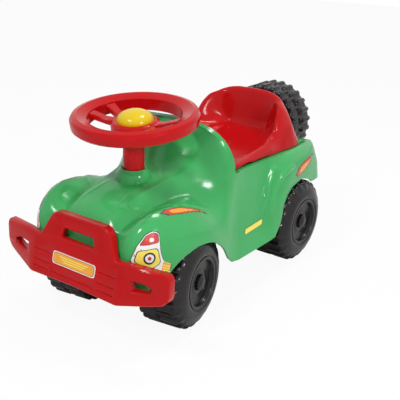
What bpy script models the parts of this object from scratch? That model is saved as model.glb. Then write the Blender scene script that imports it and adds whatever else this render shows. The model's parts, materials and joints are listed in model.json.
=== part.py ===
"""Toddler ride-on car.

A moulded body shell, open underneath, carries a steered front axle, a rear axle on a
carrier below its storage tub, a lid that is the seat and its backrest, a bumper and a
spare wheel. Lengths are in metres. The front axle lies at Y = 0 of the car's own frame,
the car faces -Y and its left side is at +X.
"""
from math import atan2, cos, pi, radians, sin, sqrt

import bmesh
import bpy
from mathutils import Matrix, Vector

# Driving sizes
WHEELBASE = 0.320
WHEEL_RADIUS = 0.072
TREAD_WIDTH = 0.062
TRACK = 0.166
BODY_HALF_WIDTH = 0.127
WALL = 0.0026
GAP = 0.0003
RUNNING_GAP = 0.0004

# Wheels, one moulding for all five
LUG_COUNT = 24
LUG_HEIGHT = 0.0045
SHOULDER_DROP = 0.006
LUG_INSET = 0.005
LUG_SPLIT = 0.002
LUG_HALF_ANGLE = radians(3.6)
SIDEWALL_BULGE = 0.010
RING_RADIUS = 0.038
RING_WIDTH = 0.003
HUB_DISC_RADIUS = 0.0335
HUB_DISC_DEPTH = 0.007
WHEEL_WALL = 0.0035
HUB_BOSS_RADIUS = 0.014

# Axles and what holds the wheels on them
AXLE_RADIUS = 0.004
WASHER_THICKNESS = 0.0012
WASHER_RADIUS = 0.009
PUSH_NUT_THICKNESS = 0.0012
PUSH_NUT_RADIUS = 0.0085
AXLE_END = 0.0015
CAP_RADIUS = 0.012
CAP_WALL = 0.0012
CAP_DOME = 0.0025

# Steering
COLUMN_SETBACK = 0.006
COLUMN_RADIUS = 0.016
COLUMN_WALL = 0.0035
REST_STEER = radians(8.0)
SLEEVE_WALL = 0.0035
SLEEVE_LENGTH = 0.076
BOSS_RADIUS = 0.027
BOSS_TOP = 0.226
CARRIER_TUBE_RADIUS = 0.012
CARRIER_POST_RADIUS = 0.0205
CARRIER_WEB = 0.006
COLUMN_SOCKET_DEPTH = 0.044
COLUMN_PIN_RADIUS = 0.0025
THRUST_WASHER_THICKNESS = 0.003

# Steering wheel and horn button
STEERING_WHEEL_RADIUS = 0.0945
STEERING_WHEEL_HEIGHT = 0.308
STEERING_WHEEL_SETBACK = 0.008
STEERING_WHEEL_TILT = radians(6.0)
RIM_WIDTH = 0.026
RIM_DEPTH = 0.018
RIM_CROWN = 0.004
HUB_RADIUS = 0.036
HUB_TOP_DROP = 0.014
HUB_DEPTH = 0.012
HUB_TUBE_RADIUS = 0.0205
HUB_TUBE_LENGTH = 0.022
HUB_FLOOR = 0.003
HUB_SCREW_RADIUS = 0.002
HUB_SCREW_LENGTH = 0.014
HUB_SCREW_HEAD = 0.005
HUB_SCREW_HEAD_HEIGHT = 0.0025
SPOKE_SPREAD = radians(17.5)
SPOKE_WIDTH = 0.013
SPOKE_DEPTH = 0.008
BUTTON_RADIUS = 0.0275
BUTTON_DOME = 0.0155
BUTTON_SKIRT = 0.009
BUTTON_WALL = 0.002
BUTTON_TRAVEL = 0.004
BELLOWS_RADIUS = 0.015

# Bumper, flat in the middle with two wings swept back
BUMPER_FRONT = 0.131
BUMPER_BOTTOM = 0.083
BUMPER_BEND = 0.081
WING_LENGTH = 0.078
WING_SWEEP = radians(18.0)
BUMPER_LEAN = radians(13.3)
WING_TOP = 0.0585
HOOP_TOP = 0.0985
BUMPER_WALL = 0.0025
BUMPER_FLANGE = 0.009
BUMPER_DEEP_FLANGE = 0.013
GROOVE_HEIGHTS = (0.012, 0.022, 0.037)
GROOVE_SPAN = (0.047, 0.077)
GROOVE_WIDTH = 0.0026
GROOVE_DEPTH = 0.0011
BUMPER_EDGE = 0.002
BUMPER_POST_X = 0.024
BUMPER_POST_RISE = 0.022
BUMPER_POST_RADIUS = 0.0065
BUMPER_SCREW_LENGTH = 0.018
NOSE_BACK = 0.104
SCREW_RADIUS = 0.0016
SCREW_HEAD_RADIUS = 0.0038
SCREW_HEAD_HEIGHT = 0.0022

# Seat lid
HINGE_Y = 0.127
HINGE_Z = 0.2045
HINGE_PIN_RADIUS = 0.002
KNUCKLE_RADIUS = 0.0042
KNUCKLE_WIDTH = 0.006
KNUCKLE_X = 0.063
LUG_REACH = 0.012
SEAT_WALL = 0.0025

# Spare wheel
SPARE_X = -0.026
SPARE_Z = 0.207
SPARE_FACE_Y = 0.406
SPARE_PLATE_HALF_WIDTH = 0.016
SPARE_PLATE_DROP = 0.052
SPARE_BOLT_HEAD = 0.011
SPARE_NUT_RADIUS = 0.006
SPARE_NUT_THICKNESS = 0.005
PANEL_TOP_Y = 0.395
PANEL_TOP_Z = 0.197
PANEL_RAKE = 1.0 / 9.0

# Rear axle carrier
CARRIER_HALF_LENGTH = 0.030
CARRIER_HALF_WIDTH = 0.044
CARRIER_PLATE = 0.004
LEG_THICKNESS = 0.006
TUB_FLOOR_Z = 0.152
CARRIER_SCREW_X = 0.026
CARRIER_SCREW_Y = 0.022
CARRIER_BOSS_RADIUS = 0.0045
CARRIER_BOSS_LENGTH = 0.008

# Car as drawn, which the guide points below follow
DRAWN_WHEELBASE = 0.320
DRAWN_RADIUS = 0.072
DRAWN_HALF_WIDTH = 0.127
DRAWN_STEERING_HEIGHT = 0.308
COWL_FOOT_Z = 0.200
COWL_TOP_Z = 0.287
STRETCH_FROM = 0.160
STRETCH_TO = 0.240
MM = 0.001

FRONT_ARCH_RADIUS = WHEEL_RADIUS + 0.020
FRONT_ARCH_Y = 0.002
FRONT_ARCH_Z = WHEEL_RADIUS - 0.026
REAR_ARCH_RADIUS = WHEEL_RADIUS + 0.006
REAR_ARCH_Z = WHEEL_RADIUS - 0.002

# Body guide points in mm, one row per section, from the middle of the car outwards. A
# row's last entry is its place on the lower edge: a point, or an angle round a wheel arch.
NOSE_ROWS = (
    ((0, -104, 88), (34, -104, 88), (55, -105, 88), (73, -108, 88), (90, -106.5, 88),
     (102, -101, 92), (109, -93, 98), (112, -86, 104), (113, -79, 108)),
    ((0, -104, 125), (34, -104, 125), (54, -105, 125), (73, -107.5, 126), (91, -104.5, 128),
     (104, -96, 124), (112, -86, 120), (115, -76, 116), (116, -67, 112)),
    ((0, -102, 152), (34, -102, 151), (53, -101, 148), (73, -102.5, 154), (92, -99, 160),
     (105, -90, 156), (113, -78, 146), (117, -67, 130), (118, 132.5)),
    ((0, -92, 175), (35, -92, 174), (54, -92, 165), (73, -93, 173), (91, -88, 180),
     (106, -77, 174), (115, -65, 158), (119, -55, 138), (121, 124)),
    ((0, -76, 190), (37, -76, 188), (56, -76, 174), (73, -75, 183), (91, -70, 193),
     (107, -61, 185), (117, -51, 163), (122, -43, 145), (123, 115)),
    ((0, -50, 201), (39, -50, 198), (58, -50, 180), (75, -48, 189), (92, -45, 198),
     (108, -39, 188), (119, -32, 164), (124, -27, 148), (125, 106)),
    ((0, -12, 210), (42, -12, 206), (60, -12, 186), (76, -12, 190), (93, -10, 195),
     (109, -8, 186), (120, -4, 163), (125, -1, 149), (126, 91)),
    ((0, 28, 218), (47, 28, 213), (64, 28, 192), (78, 28, 188), (94, 28, 185),
     (109, 28, 176), (120, 27, 156), (125, 27, 145), (126, 74)),
    ((0, 58, 233), (53, 58, 226), (70, 58, 205), (82, 58, 190), (94, 58, 177),
     (107, 56, 163), (118, 54, 144), (123, 52, 133), (125, 58)),
    ((0, 80, 262), (53, 82, 256), (76, 86, 238), (90, 88, 214), (97, 88, 192),
     (104, 86, 166), (114, 80, 136), (121, 76, 116), (123, 41)),
    ((0, 90, 285), (50, 92, 282), (80, 96, 270), (96, 103, 249), (102, 107, 222),
     (105, 106, 188), (110, 100, 142), (118, 92, 108), (122, 27)),
    ((0, 98, 287), (50, 99, 284), (81, 103, 272), (98, 110, 251), (104, 118, 224),
     (104, 121, 195), (105, 115, 145), (115, 106, 106), (121, 98, 76)),
    ((0, 102, 279), (48, 103, 276), (75, 105, 265), (91, 111, 245), (98, 120, 216),
     (103, 126, 204), (103, 126, 150), (114, 120, 105), (121, 116, 73)),
)
DASH_ROWS = (
    ((0, 116, 194), (42, 116, 194), (68, 116, 194), (84, 117, 196), (96, 127, 206),
     (102, 132, 207), (102.5, 133, 150), (114, 130, 105), (121, 128, 73)),
    ((0, 134, 194), (42, 134, 194), (68, 134, 194), (84, 134, 196), (90, 138, 207),
     (99, 144, 208), (103, 148, 150), (114, 146, 105), (121, 145, 73)),
)
TUB_ROWS = (
    ((0, 140, 152), (50, 140, 152), (78, 141, 153), (86, 145, 200), (89, 150, 207),
     (98, 156, 207.5), (102.5, 168, 150), (114, 168, 105), (121, 168, 73)),
    ((0, 190, 152), (50, 190, 152), (78, 190, 153), (86, 190, 199), (89, 190, 206),
     (98, 190, 206), (102.5, 186, 150), (114, 184, 105), (121, 184, 73)),
    ((0, 222, 152), (50, 222, 152), (78, 222, 153), (86, 222, 198.5), (89, 224, 205),
     (98, 229, 205), (102.5, 210, 150), (114, 206, 105), (121, 203, 73)),
    ((0, 233, 152), (50, 233, 152), (78, 233, 153), (86, 233, 198), (89, 234, 204.7),
     (100, 238, 204.7), (107.5, 218, 150), (117.5, 213, 106), (122, 211, 74)),
    ((0, 250, 152), (50, 250, 152), (78, 250, 153), (86, 250, 197.3), (89, 250, 204),
     (101, 254, 204), (110, 245, 162), (118, 225, 106), (122, 224, 75)),
    ((0, 260, 152), (50, 260, 152), (78, 260, 153), (86, 260, 197), (89, 260, 203.8),
     (101, 264, 203.5), (113, 254, 167), (119.5, 238, 112), (119, 163)),
    ((0, 284, 152), (50, 284, 152), (78, 284, 153), (86, 284, 196), (89, 284, 203),
     (99.5, 284, 203), (112.5, 276, 186), (116, 266, 150), (115, 140)),
    ((0, 312, 152), (50, 312, 152), (77, 312, 153), (85, 312, 195), (88, 312, 202),
     (98, 312, 202), (110, 309, 192.5), (114, 298, 167), (112, 112)),
    ((0, 334, 152), (49, 334, 152), (76, 334, 153), (83, 335, 195), (87, 338, 201),
     (96.5, 340, 201), (107, 338, 193), (111.5, 330, 171), (110, 86)),
    ((0, 350, 152), (48, 350, 152), (74, 350, 153), (81, 352, 195), (85, 358, 200.5),
     (95, 361, 200.5), (103.5, 361, 191), (108, 360, 168), (107, 60)),
    ((0, 357, 154), (46, 357, 154), (70, 356, 156), (79, 358, 197), (83, 366, 200),
     (93, 373, 200), (100.5, 374, 187), (105, 374, 160), (104.5, 374, 128)),
)
REAR_ROWS = (
    ((0, 362, 199.5), (46, 362, 199.5), (68, 362, 199.5), (77, 364, 200), (82, 373, 200),
     (91, 382, 199.5), (98, 384, 184), (103, 386, 160), (103, 388, 127)),
    ((0, 384, 200), (46, 384, 200), (67, 384, 200), (75, 384, 200), (81, 386, 200),
     (88, 389, 199), (94, 395, 182), (100, 398, 158), (102, 400, 127)),
    ((0, 395, 197), (46, 395, 197), (66, 395, 197), (74, 395, 197), (80, 395, 196.5),
     (86, 395.5, 195.5), (91, 402, 180), (97, 406, 156), (100, 407, 127)),
    ((0, 396.67, 182), (44, 396.67, 182), (63, 397.5, 182), (72, 399, 182), (78, 401, 182),
     (83, 403, 181), (88, 406, 172), (93, 409.5, 152), (97.5, 410.5, 127)),
    ((0, 400, 152), (42, 400, 152), (60, 401, 152), (70, 403, 152), (77, 406, 152),
     (82, 408.5, 152), (86, 410, 150), (90, 411.5, 142), (94, 412, 127)),
    ((0, 402.8, 127), (40, 402.8, 127), (57, 403.5, 127), (67, 405, 127), (74, 408, 127),
     (79, 410, 127), (83, 411.5, 127), (87, 412, 127), (90.5, 412.5, 127)),
)
ROW_STEPS = (1, 1, 2, 2, 2, 2, 2, 2, 2, 2, 1, 1, 2, 1, 1, 2, 1, 1, 1, 1, 1, 2, 1, 1, 1, 1, 1,
             1, 1, 1)
COLUMN_STEPS = (1, 2, 2, 2, 2, 2, 1, 1)

# Seat guide points in mm, laid out the same way. A last entry with two values lies on the
# body's rim.
SEAT_ROWS = (
    ((0, 124, 195.4), (40, 124, 195.4), (72, 124, 195.4), (85, 125, 199.6), (90, 126.5, 206.5),
     (91.5, 128.5, 208)),
    ((0, 124.5, 211.5), (40, 124.5, 211.5), (74, 124.5, 211.5), (86, 125.5, 211),
     (90.5, 128, 210.5), (92, 133)),
    ((0, 155, 212.5), (58, 155, 213.5), (80, 155, 214), (87.5, 155, 214.5), (91.5, 155, 212.5),
     (93, 155)),
    ((0, 180, 214), (60, 180, 215), (81, 180, 216), (88, 180, 216.5), (91.5, 180, 214),
     (93, 180)),
    ((0, 216, 216.5), (56, 216, 217.5), (71, 216, 218.5), (85, 215, 221.5), (91, 214, 216),
     (93, 213)),
    ((0, 252, 219), (48, 252, 220), (58, 252, 221), (84, 248, 225.5), (90.5, 246, 217),
     (93, 244)),
    ((0, 288, 221.5), (43, 288, 222.5), (49, 286, 224.5), (82, 265, 232), (88.5, 261, 218),
     (93, 257)),
    ((0, 311, 224.5), (38, 311, 225), (44, 307, 228), (79, 271, 240), (88, 269, 221),
     (93, 268)),
    ((0, 316.5, 232), (36, 315.8, 232), (50, 308.5, 236), (79, 273.5, 249), (88, 279, 227),
     (93, 280)),
    ((0, 319, 262), (28, 318.5, 262), (53, 311, 261), (77, 285, 264.5), (88, 292, 236),
     (93.5, 292)),
    ((0, 322, 285), (28, 321.5, 284.5), (52, 316, 281.5), (72, 299, 276.5), (87.5, 304.5, 244),
     (93.5, 304)),
    ((0, 327, 293), (30, 326.5, 291.5), (55, 322, 286), (74.5, 313.5, 270.5), (88, 314.5, 244),
     (94, 316)),
    ((0, 335, 288), (32, 334, 286.5), (55, 330, 279), (73, 325, 261.5), (86, 324, 235.5),
     (93, 328)),
    ((0, 351, 254), (30, 351, 253), (53, 349, 247), (72, 344, 237), (85, 338, 220),
     (91, 340)),
    ((0, 373.5, 201.8), (28, 373.5, 201.8), (50, 372.5, 201.8), (68, 368.5, 201.8),
     (80, 360, 201.6), (87, 346, 201.6)),
)
SEAT_ROW_STEPS = (1, 1, 1, 1, 1, 1, 1, 1, 1, 1, 1, 1, 1, 1)
SEAT_COLUMN_STEPS = (1, 2, 3, 2, 1)
SEAT_LIFT = 0.0013

COLOURS = {
    "green": ((0.045, 0.42, 0.12), 0.28, 0.0),
    "red": ((0.62, 0.012, 0.014), 0.25, 0.0),
    "black": ((0.018, 0.016, 0.018), 0.38, 0.0),
    "yellow": ((0.85, 0.62, 0.01), 0.25, 0.0),
    "steel": ((0.55, 0.56, 0.58), 0.3, 1.0),
    "nylon": ((0.75, 0.75, 0.72), 0.45, 0.0),
    "rubber": ((0.05, 0.05, 0.05), 0.7, 0.0),
}


def clear_scene():
    for item in list(bpy.data.objects):
        bpy.data.objects.remove(item, do_unlink=True)


def new_collection(name):
    collection = bpy.data.collections.new(name)
    bpy.context.scene.collection.children.link(collection)
    return collection


clear_scene()
PARTS = new_collection("toddler_ride_on_car")
CUTTERS = new_collection("cutters")


def new_empty(name, location, parent=None, turn=(0.0, 0.0, 0.0)):
    empty = bpy.data.objects.new(name, None)
    empty.location = location
    empty.rotation_euler = turn
    empty.parent = parent
    PARTS.objects.link(empty)
    return empty


def finish_of(kind):
    """The material of one piece, a Principled BSDF of its own."""
    colour, roughness, metallic = COLOURS[kind]
    material = bpy.data.materials.new(kind)
    material.use_nodes = True
    shader = material.node_tree.nodes["Principled BSDF"]
    shader.inputs["Base Color"].default_value = (*colour, 1.0)
    shader.inputs["Roughness"].default_value = roughness
    shader.inputs["Metallic"].default_value = metallic
    return material


def add_part(name, mesh, kind, parent, location=(0, 0, 0), turn=(0, 0, 0)):
    part = bpy.data.objects.new(name, mesh)
    part.location = location
    part.rotation_euler = turn
    part.parent = parent
    if kind:
        if mesh.users > 1:
            part.material_slots[0].link = "OBJECT"
            part.material_slots[0].material = finish_of(kind)
        else:
            mesh.materials.append(finish_of(kind))
        PARTS.objects.link(part)
    else:
        part.hide_render = True
        part.display_type = "WIRE"
        CUTTERS.objects.link(part)
    for face in mesh.polygons:
        face.use_smooth = True
    mesh.set_sharp_from_angle(angle=radians(32))
    return part


def mesh_from(bm, name):
    mesh = bpy.data.meshes.new(name)
    bm.to_mesh(mesh)
    bm.free()
    return mesh


def boolean(part, tool, operation):
    modifier = part.modifiers.new(operation.lower(), "BOOLEAN")
    modifier.operation = operation
    modifier.object = tool
    modifier.solver = "EXACT"


def cut(part, tool):
    boolean(part, tool, "DIFFERENCE")


def join(part, tool):
    boolean(part, tool, "UNION")


def loops_mesh(name, loops, closed):
    """A closed surface through rings of points, with unlike counts bridged by fans."""
    bm = bmesh.new()
    rings = [[bm.verts.new(point) for point in loop] for loop in loops]
    pairs = list(zip(rings, rings[1:]))
    if closed:
        pairs.append((rings[-1], rings[0]))
    for first, second in pairs:
        bridge(bm, first, second)
    if not closed:
        bm.faces.new(rings[0])
        bm.faces.new(reversed(rings[-1]))
    bmesh.ops.recalc_face_normals(bm, faces=bm.faces)
    return mesh_from(bm, name)


def bridge(bm, first, second):
    """Faces between two rings, one of which may have a whole multiple of the other."""
    if len(first) == len(second):
        count = len(first)
        for k in range(count):
            bm.faces.new((first[k], first[(k + 1) % count], second[(k + 1) % count], second[k]))
        return
    fine, coarse = (first, second) if len(first) > len(second) else (second, first)
    ratio = len(fine) // len(coarse)
    for k, corner in enumerate(coarse):
        following = coarse[(k + 1) % len(coarse)]
        start = k * ratio
        half = start + ratio // 2
        for j in range(start, start + ratio):
            apex = corner if j < half else following
            bm.faces.new((fine[j], fine[(j + 1) % len(fine)], apex))
        bm.faces.new((corner, fine[half % len(fine)], following))


def ring(along, radius, count):
    """Points of a circle round the X axis."""
    return [(along, radius * cos(2 * pi * k / count), radius * sin(2 * pi * k / count))
            for k in range(count)]


def turned(name, profile, count, closed=True):
    """A body of revolution round Z from (radius, height) points, outer side downwards."""
    bm = bmesh.new()
    points = [bm.verts.new((radius, 0.0, height)) for radius, height in profile]
    for first, second in zip(points, points[1:]):
        bm.edges.new((first, second))
    if closed:
        bm.edges.new((points[-1], points[0]))
    bmesh.ops.spin(bm, geom=bm.verts[:] + bm.edges[:], axis=(0, 0, 1), cent=(0, 0, 0),
                   angle=2 * pi, steps=count, use_merge=True, use_duplicate=False)
    bmesh.ops.remove_doubles(bm, verts=bm.verts, dist=1e-6)
    bmesh.ops.recalc_face_normals(bm, faces=bm.faces)
    return mesh_from(bm, name)


def washer(name, inner, outer, thickness, count):
    return turned(name, ((outer, thickness), (outer, 0), (inner, 0), (inner, thickness)), count)


def rod(name, radius, length, count, chamfer=0.0005):
    """A round bar along Z from 0 to its length, with small chamfers."""
    profile = ((0, length), (radius - chamfer, length), (radius, length - chamfer),
               (radius, chamfer), (radius - chamfer, 0), (0, 0))
    return turned(name, profile, count, closed=False)


def screw(name, radius, length, head_radius, head_height, count=10):
    """A pan-head screw along Z: the head above 0, the shank below it."""
    profile = ((0, head_height), (0.6 * head_radius, head_height),
               (head_radius, 0.35 * head_height), (head_radius, 0), (radius, 0),
               (radius, -length + radius), (0, -length))
    return turned(name, profile, count, closed=False)


def box(name, low, high):
    bm = bmesh.new()
    bmesh.ops.create_cube(bm, size=1.0)
    centre = [(a + b) / 2 for a, b in zip(low, high)]
    size = [b - a for a, b in zip(low, high)]
    bmesh.ops.scale(bm, vec=size, verts=bm.verts)
    bmesh.ops.translate(bm, vec=centre, verts=bm.verts)
    return mesh_from(bm, name)


def outline_prism(name, outline, low, high, axis):
    """A prism with the given outline, from low to high along X, Y or Z."""
    order = {"X": lambda a, b, c: (c, a, b), "Y": lambda a, b, c: (a, c, b),
             "Z": lambda a, b, c: (a, b, c)}[axis]
    bm = bmesh.new()
    lower = [bm.verts.new(order(a, b, low)) for a, b in outline]
    upper = [bm.verts.new(order(a, b, high)) for a, b in outline]
    bm.faces.new(lower)
    bm.faces.new(reversed(upper))
    bridge(bm, lower, upper)
    bmesh.ops.recalc_face_normals(bm, faces=bm.faces)
    return mesh_from(bm, name)


def arc(centre, radius, start, end, count):
    """Points of an arc, its angles in degrees."""
    angles = [radians(start + (end - start) * k / count) for k in range(count + 1)]
    return [(centre[0] + radius * cos(a), centre[1] + radius * sin(a)) for a in angles]


# Surfaces through guide points

def slopes(points):
    """Slopes that keep a curve through the points from overshooting."""
    steps = [b - a for a, b in zip(points, points[1:])]
    result = [steps[0]]
    for before, after in zip(steps, steps[1:]):
        slope = Vector((0, 0, 0))
        for axis in range(3):
            if before[axis] * after[axis] > 0:
                slope[axis] = 2 * before[axis] * after[axis] / (before[axis] + after[axis])
        result.append(slope)
    result.append(steps[-1])
    return result


def smooth_through(points, counts):
    """A smooth curve through the points, with a number of steps on each stretch."""
    tangents = slopes(points)
    result = [points[0]]
    for k, count in enumerate(counts):
        for j in range(1, count + 1):
            t = j / count
            result.append(points[k] * (2 * t ** 3 - 3 * t ** 2 + 1)
                          + tangents[k] * (t ** 3 - 2 * t ** 2 + t)
                          + points[k + 1] * (3 * t ** 2 - 2 * t ** 3)
                          + tangents[k + 1] * (t ** 3 - t ** 2))
    return result


def guided_half(name, rows, row_steps, column_steps):
    """The left half of a symmetric surface, open at the plane X = 0."""
    across = [smooth_through(row, column_steps) for row in rows]
    lines = [smooth_through(list(line), row_steps) for line in zip(*across)]
    bm = bmesh.new()
    grid = [[bm.verts.new(point) for point in line] for line in lines]
    for left, right in zip(grid, grid[1:]):
        for k in range(len(left) - 1):
            bm.faces.new((left[k], right[k], right[k + 1], left[k + 1]))
    return mesh_from(bm, name)


def shell(part, thickness):
    """Mirrors a half surface and gives it a wall on its hidden side."""
    mirror = part.modifiers.new("mirror", "MIRROR")
    mirror.use_clip = True
    mirror.merge_threshold = 0.0001
    wall = part.modifiers.new("wall", "SOLIDIFY")
    wall.thickness = thickness
    wall.offset = -1.0
    wall.use_even_offset = False


def drawn(x, y, z):
    """A guide point in mm of the car as drawn, moved to follow the driving sizes."""
    share = min(max((y * MM - STRETCH_FROM) / (STRETCH_TO - STRETCH_FROM), 0.0), 1.0)
    return Vector((x * MM * BODY_HALF_WIDTH / DRAWN_HALF_WIDTH,
                   y * MM + share * (WHEELBASE - DRAWN_WHEELBASE),
                   z * MM + 2 * (WHEEL_RADIUS - DRAWN_RADIUS)))


def rim_height(y):
    """Height in mm of the body's rim at a guide place along the car."""
    return 208.0 - (y - 140.0) * 0.0345


def follow_wheel(point):
    """A point of the cowl, moved up or down with the steering wheel above it."""
    above = point.z - 2 * (WHEEL_RADIUS - DRAWN_RADIUS) - COWL_FOOT_Z
    share = max(above / (COWL_TOP_Z - COWL_FOOT_Z), 0.0)
    return point + Vector((0, 0, share * (STEERING_WHEEL_HEIGHT - DRAWN_STEERING_HEIGHT)))


def arch_point(x, degrees_round, front):
    angle = radians(degrees_round)
    width = x * MM * BODY_HALF_WIDTH / DRAWN_HALF_WIDTH
    if front:
        return Vector((width, FRONT_ARCH_Y + FRONT_ARCH_RADIUS * cos(angle),
                       FRONT_ARCH_Z + FRONT_ARCH_RADIUS * sin(angle)))
    return Vector((width, WHEELBASE + REAR_ARCH_RADIUS * cos(angle),
                   REAR_ARCH_Z + REAR_ARCH_RADIUS * sin(angle)))


def body_rows():
    rows = []
    for group, front in ((NOSE_ROWS, True), (DASH_ROWS, True), (TUB_ROWS, False),
                         (REAR_ROWS, False)):
        for row in group:
            points = [drawn(*entry) for entry in row[:-1]]
            if front:
                points = [follow_wheel(point) for point in points]
            last = row[-1]
            points.append(drawn(*last) if len(last) == 3 else arch_point(*last, front))
            rows.append(points)
    return rows


def make_body(origin):
    """The body shell with the steering sleeve, hinge lugs and screw holes."""
    body = add_part("body_shell", guided_half("body_shell", body_rows(), ROW_STEPS, COLUMN_STEPS),
                    "green", origin)
    shell(body, WALL)
    bore = COLUMN_RADIUS + RUNNING_GAP
    lower = BOSS_TOP - SLEEVE_LENGTH
    lift = 2 * (WHEEL_RADIUS - DRAWN_RADIUS)
    outer = bore + SLEEVE_WALL
    skirt = BOSS_TOP - 0.024
    profile = ((outer - 0.001, BOSS_TOP), (BOSS_RADIUS - 0.0045, BOSS_TOP - 0.003),
               (BOSS_RADIUS - 0.001, BOSS_TOP - 0.009), (BOSS_RADIUS, skirt),
               (outer, skirt - 0.006), (outer, lower), (bore, lower), (bore, BOSS_TOP - 0.001))
    sleeve = add_part("sleeve_form", turned("sleeve_form", profile, 28), None, origin,
                      (0, COLUMN_SETBACK, lift))
    opening = add_part("sleeve_bore", rod("sleeve_bore", outer - 0.001, 0.08, 28), None, origin,
                       (0, COLUMN_SETBACK, lower + lift))
    cut(body, opening)
    join(body, sleeve)
    for side, x in (("left", 1), ("right", -1)):
        for place, offset in (("inner", -1), ("outer", 1)):
            middle = x * (KNUCKLE_X + offset * (KNUCKLE_WIDTH + GAP))
            lug = knuckle_form(f"lug_{side}_{place}", middle, -LUG_REACH, origin)
            join(body, lug)
        pin_hole = add_part(f"pin_hole_{side}", rod("pin_hole", HINGE_PIN_RADIUS + GAP,
                                                    4 * KNUCKLE_WIDTH, 12), None, origin,
                            (x * KNUCKLE_X - 2 * KNUCKLE_WIDTH, HINGE_Y, HINGE_Z + lift),
                            (0, pi / 2, 0))
        cut(body, pin_hole)
    return body


def knuckle_form(name, middle, reach, origin):
    """A lug round the seat's hinge axis that reaches up or down to what carries it."""
    lift = 2 * (WHEEL_RADIUS - DRAWN_RADIUS)
    half = KNUCKLE_WIDTH / 2
    if reach < 0:
        outline = arc((0, 0), KNUCKLE_RADIUS, 0, 180, 8)
    else:
        outline = arc((0, 0), KNUCKLE_RADIUS, 180, 360, 8)
    outline += [(outline[-1][0], reach), (outline[0][0], reach)]
    mesh = outline_prism(name, outline, middle - half, middle + half, "X")
    return add_part(name, mesh, None, origin, (0, HINGE_Y, HINGE_Z + lift))


def make_seat(pivot, origin):
    """The lid: seat pan, side bolsters and backrest in one moulding, open below."""
    rows = []
    for row in SEAT_ROWS:
        points = []
        for entry in row:
            if len(entry) == 2:
                entry = (entry[0], entry[1], rim_height(entry[1]))
                points.append(drawn(*entry) + Vector((0, 0, SEAT_LIFT)))
            else:
                points.append(drawn(*entry))
        rows.append(points)
    lift = 2 * (WHEEL_RADIUS - DRAWN_RADIUS)
    mesh = guided_half("seat", rows, SEAT_ROW_STEPS, SEAT_COLUMN_STEPS)
    mesh.transform(Matrix.Translation((0, -HINGE_Y, -HINGE_Z - lift)))
    seat = add_part("seat", mesh, "red", pivot)
    shell(seat, SEAT_WALL)
    reach = 1.5 * KNUCKLE_WIDTH + 3 * GAP
    for side, x in (("left", 1), ("right", -1)):
        notch = box(f"notch_{side}", (x * KNUCKLE_X - reach, HINGE_Y - KNUCKLE_RADIUS - 0.002,
                                      HINGE_Z + lift - LUG_REACH),
                    (x * KNUCKLE_X + reach, HINGE_Y + KNUCKLE_RADIUS + 2 * GAP,
                     HINGE_Z + lift + KNUCKLE_RADIUS + 2 * GAP))
        cut(seat, add_part(f"notch_{side}", notch, None, origin))
        ear = knuckle_form(f"ear_{side}", x * KNUCKLE_X, 0.006, origin)
        join(seat, ear)
        hole = add_part(f"ear_hole_{side}", rod("ear_hole", HINGE_PIN_RADIUS + GAP,
                                                2 * KNUCKLE_WIDTH, 12), None, origin,
                        (x * KNUCKLE_X - KNUCKLE_WIDTH, HINGE_Y, HINGE_Z + lift),
                        (0, pi / 2, 0))
        cut(seat, hole)
        pin = rod(f"seat_hinge_pin_{side}", HINGE_PIN_RADIUS, 3 * KNUCKLE_WIDTH + 4 * GAP, 12)
        add_part(f"seat_hinge_pin_{side}", pin, "steel", origin,
                 (x * KNUCKLE_X - 1.5 * KNUCKLE_WIDTH - 2 * GAP, HINGE_Y, HINGE_Z + lift),
                 (0, pi / 2, 0))


# Wheels

def wheel_mesh():
    """A wheel round X, its outer side at +X, its middle plane at X = 0."""
    half = TREAD_WIDTH / 2
    tread = WHEEL_RADIUS
    shoulder = tread - SHOULDER_DROP
    face = half + SIDEWALL_BULGE
    disc = face - HUB_DISC_DEPTH
    floor = disc - WHEEL_WALL
    hollow = shoulder - WHEEL_WALL
    bore = AXLE_RADIUS + GAP
    count = LUG_COUNT

    def lugs(along, shift):
        points = []
        for k in range(count):
            middle = 2 * pi * (k + shift) / count
            for angle, radius in ((middle - LUG_HALF_ANGLE, tread - LUG_HEIGHT), (middle, tread),
                                  (middle + LUG_HALF_ANGLE, tread - LUG_HEIGHT)):
                points.append((along, radius * cos(angle), radius * sin(angle)))
        return points[1:] + points[:1]

    loops = [ring(-half, shoulder, count), lugs(-half + LUG_INSET, 0.0), lugs(-LUG_SPLIT, 0.0),
             lugs(LUG_SPLIT, 0.5), lugs(half - LUG_INSET, 0.5), ring(half, shoulder, count),
             ring(face - 0.004, shoulder - 0.008, count), ring(face, RING_RADIUS + 0.011, count),
             ring(face - 0.001, RING_RADIUS, count),
             ring(face - 0.001, RING_RADIUS - RING_WIDTH, count),
             ring(disc, HUB_DISC_RADIUS, count), ring(disc, bore, count),
             ring(-half, bore, count), ring(-half, HUB_BOSS_RADIUS, count),
             ring(floor, HUB_BOSS_RADIUS + 0.002, count), ring(floor, RING_RADIUS, count),
             ring(half, hollow - 0.004, count), ring(-half, hollow, count)]
    return loops_mesh("wheel", loops, True)


def cap_mesh():
    """A domed cap over an axle's end, open towards the wheel, round Z."""
    inner = CAP_RADIUS - CAP_WALL
    room = PUSH_NUT_THICKNESS + 2 * GAP + AXLE_END
    top = room + CAP_WALL
    profile = ((0, top + CAP_DOME), (0.55 * CAP_RADIUS, top + 0.8 * CAP_DOME),
               (CAP_RADIUS, top - 0.001), (CAP_RADIUS, 0), (inner, 0), (inner, room),
               (0, room + 0.5 * CAP_DOME))
    return turned("axle_cap", profile, 14, closed=False)


def hub_disc_place():
    """Distance from the car's middle plane to a road wheel's outer hub disc."""
    return TRACK / 2 + TREAD_WIDTH / 2 + SIDEWALL_BULGE - HUB_DISC_DEPTH


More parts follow.
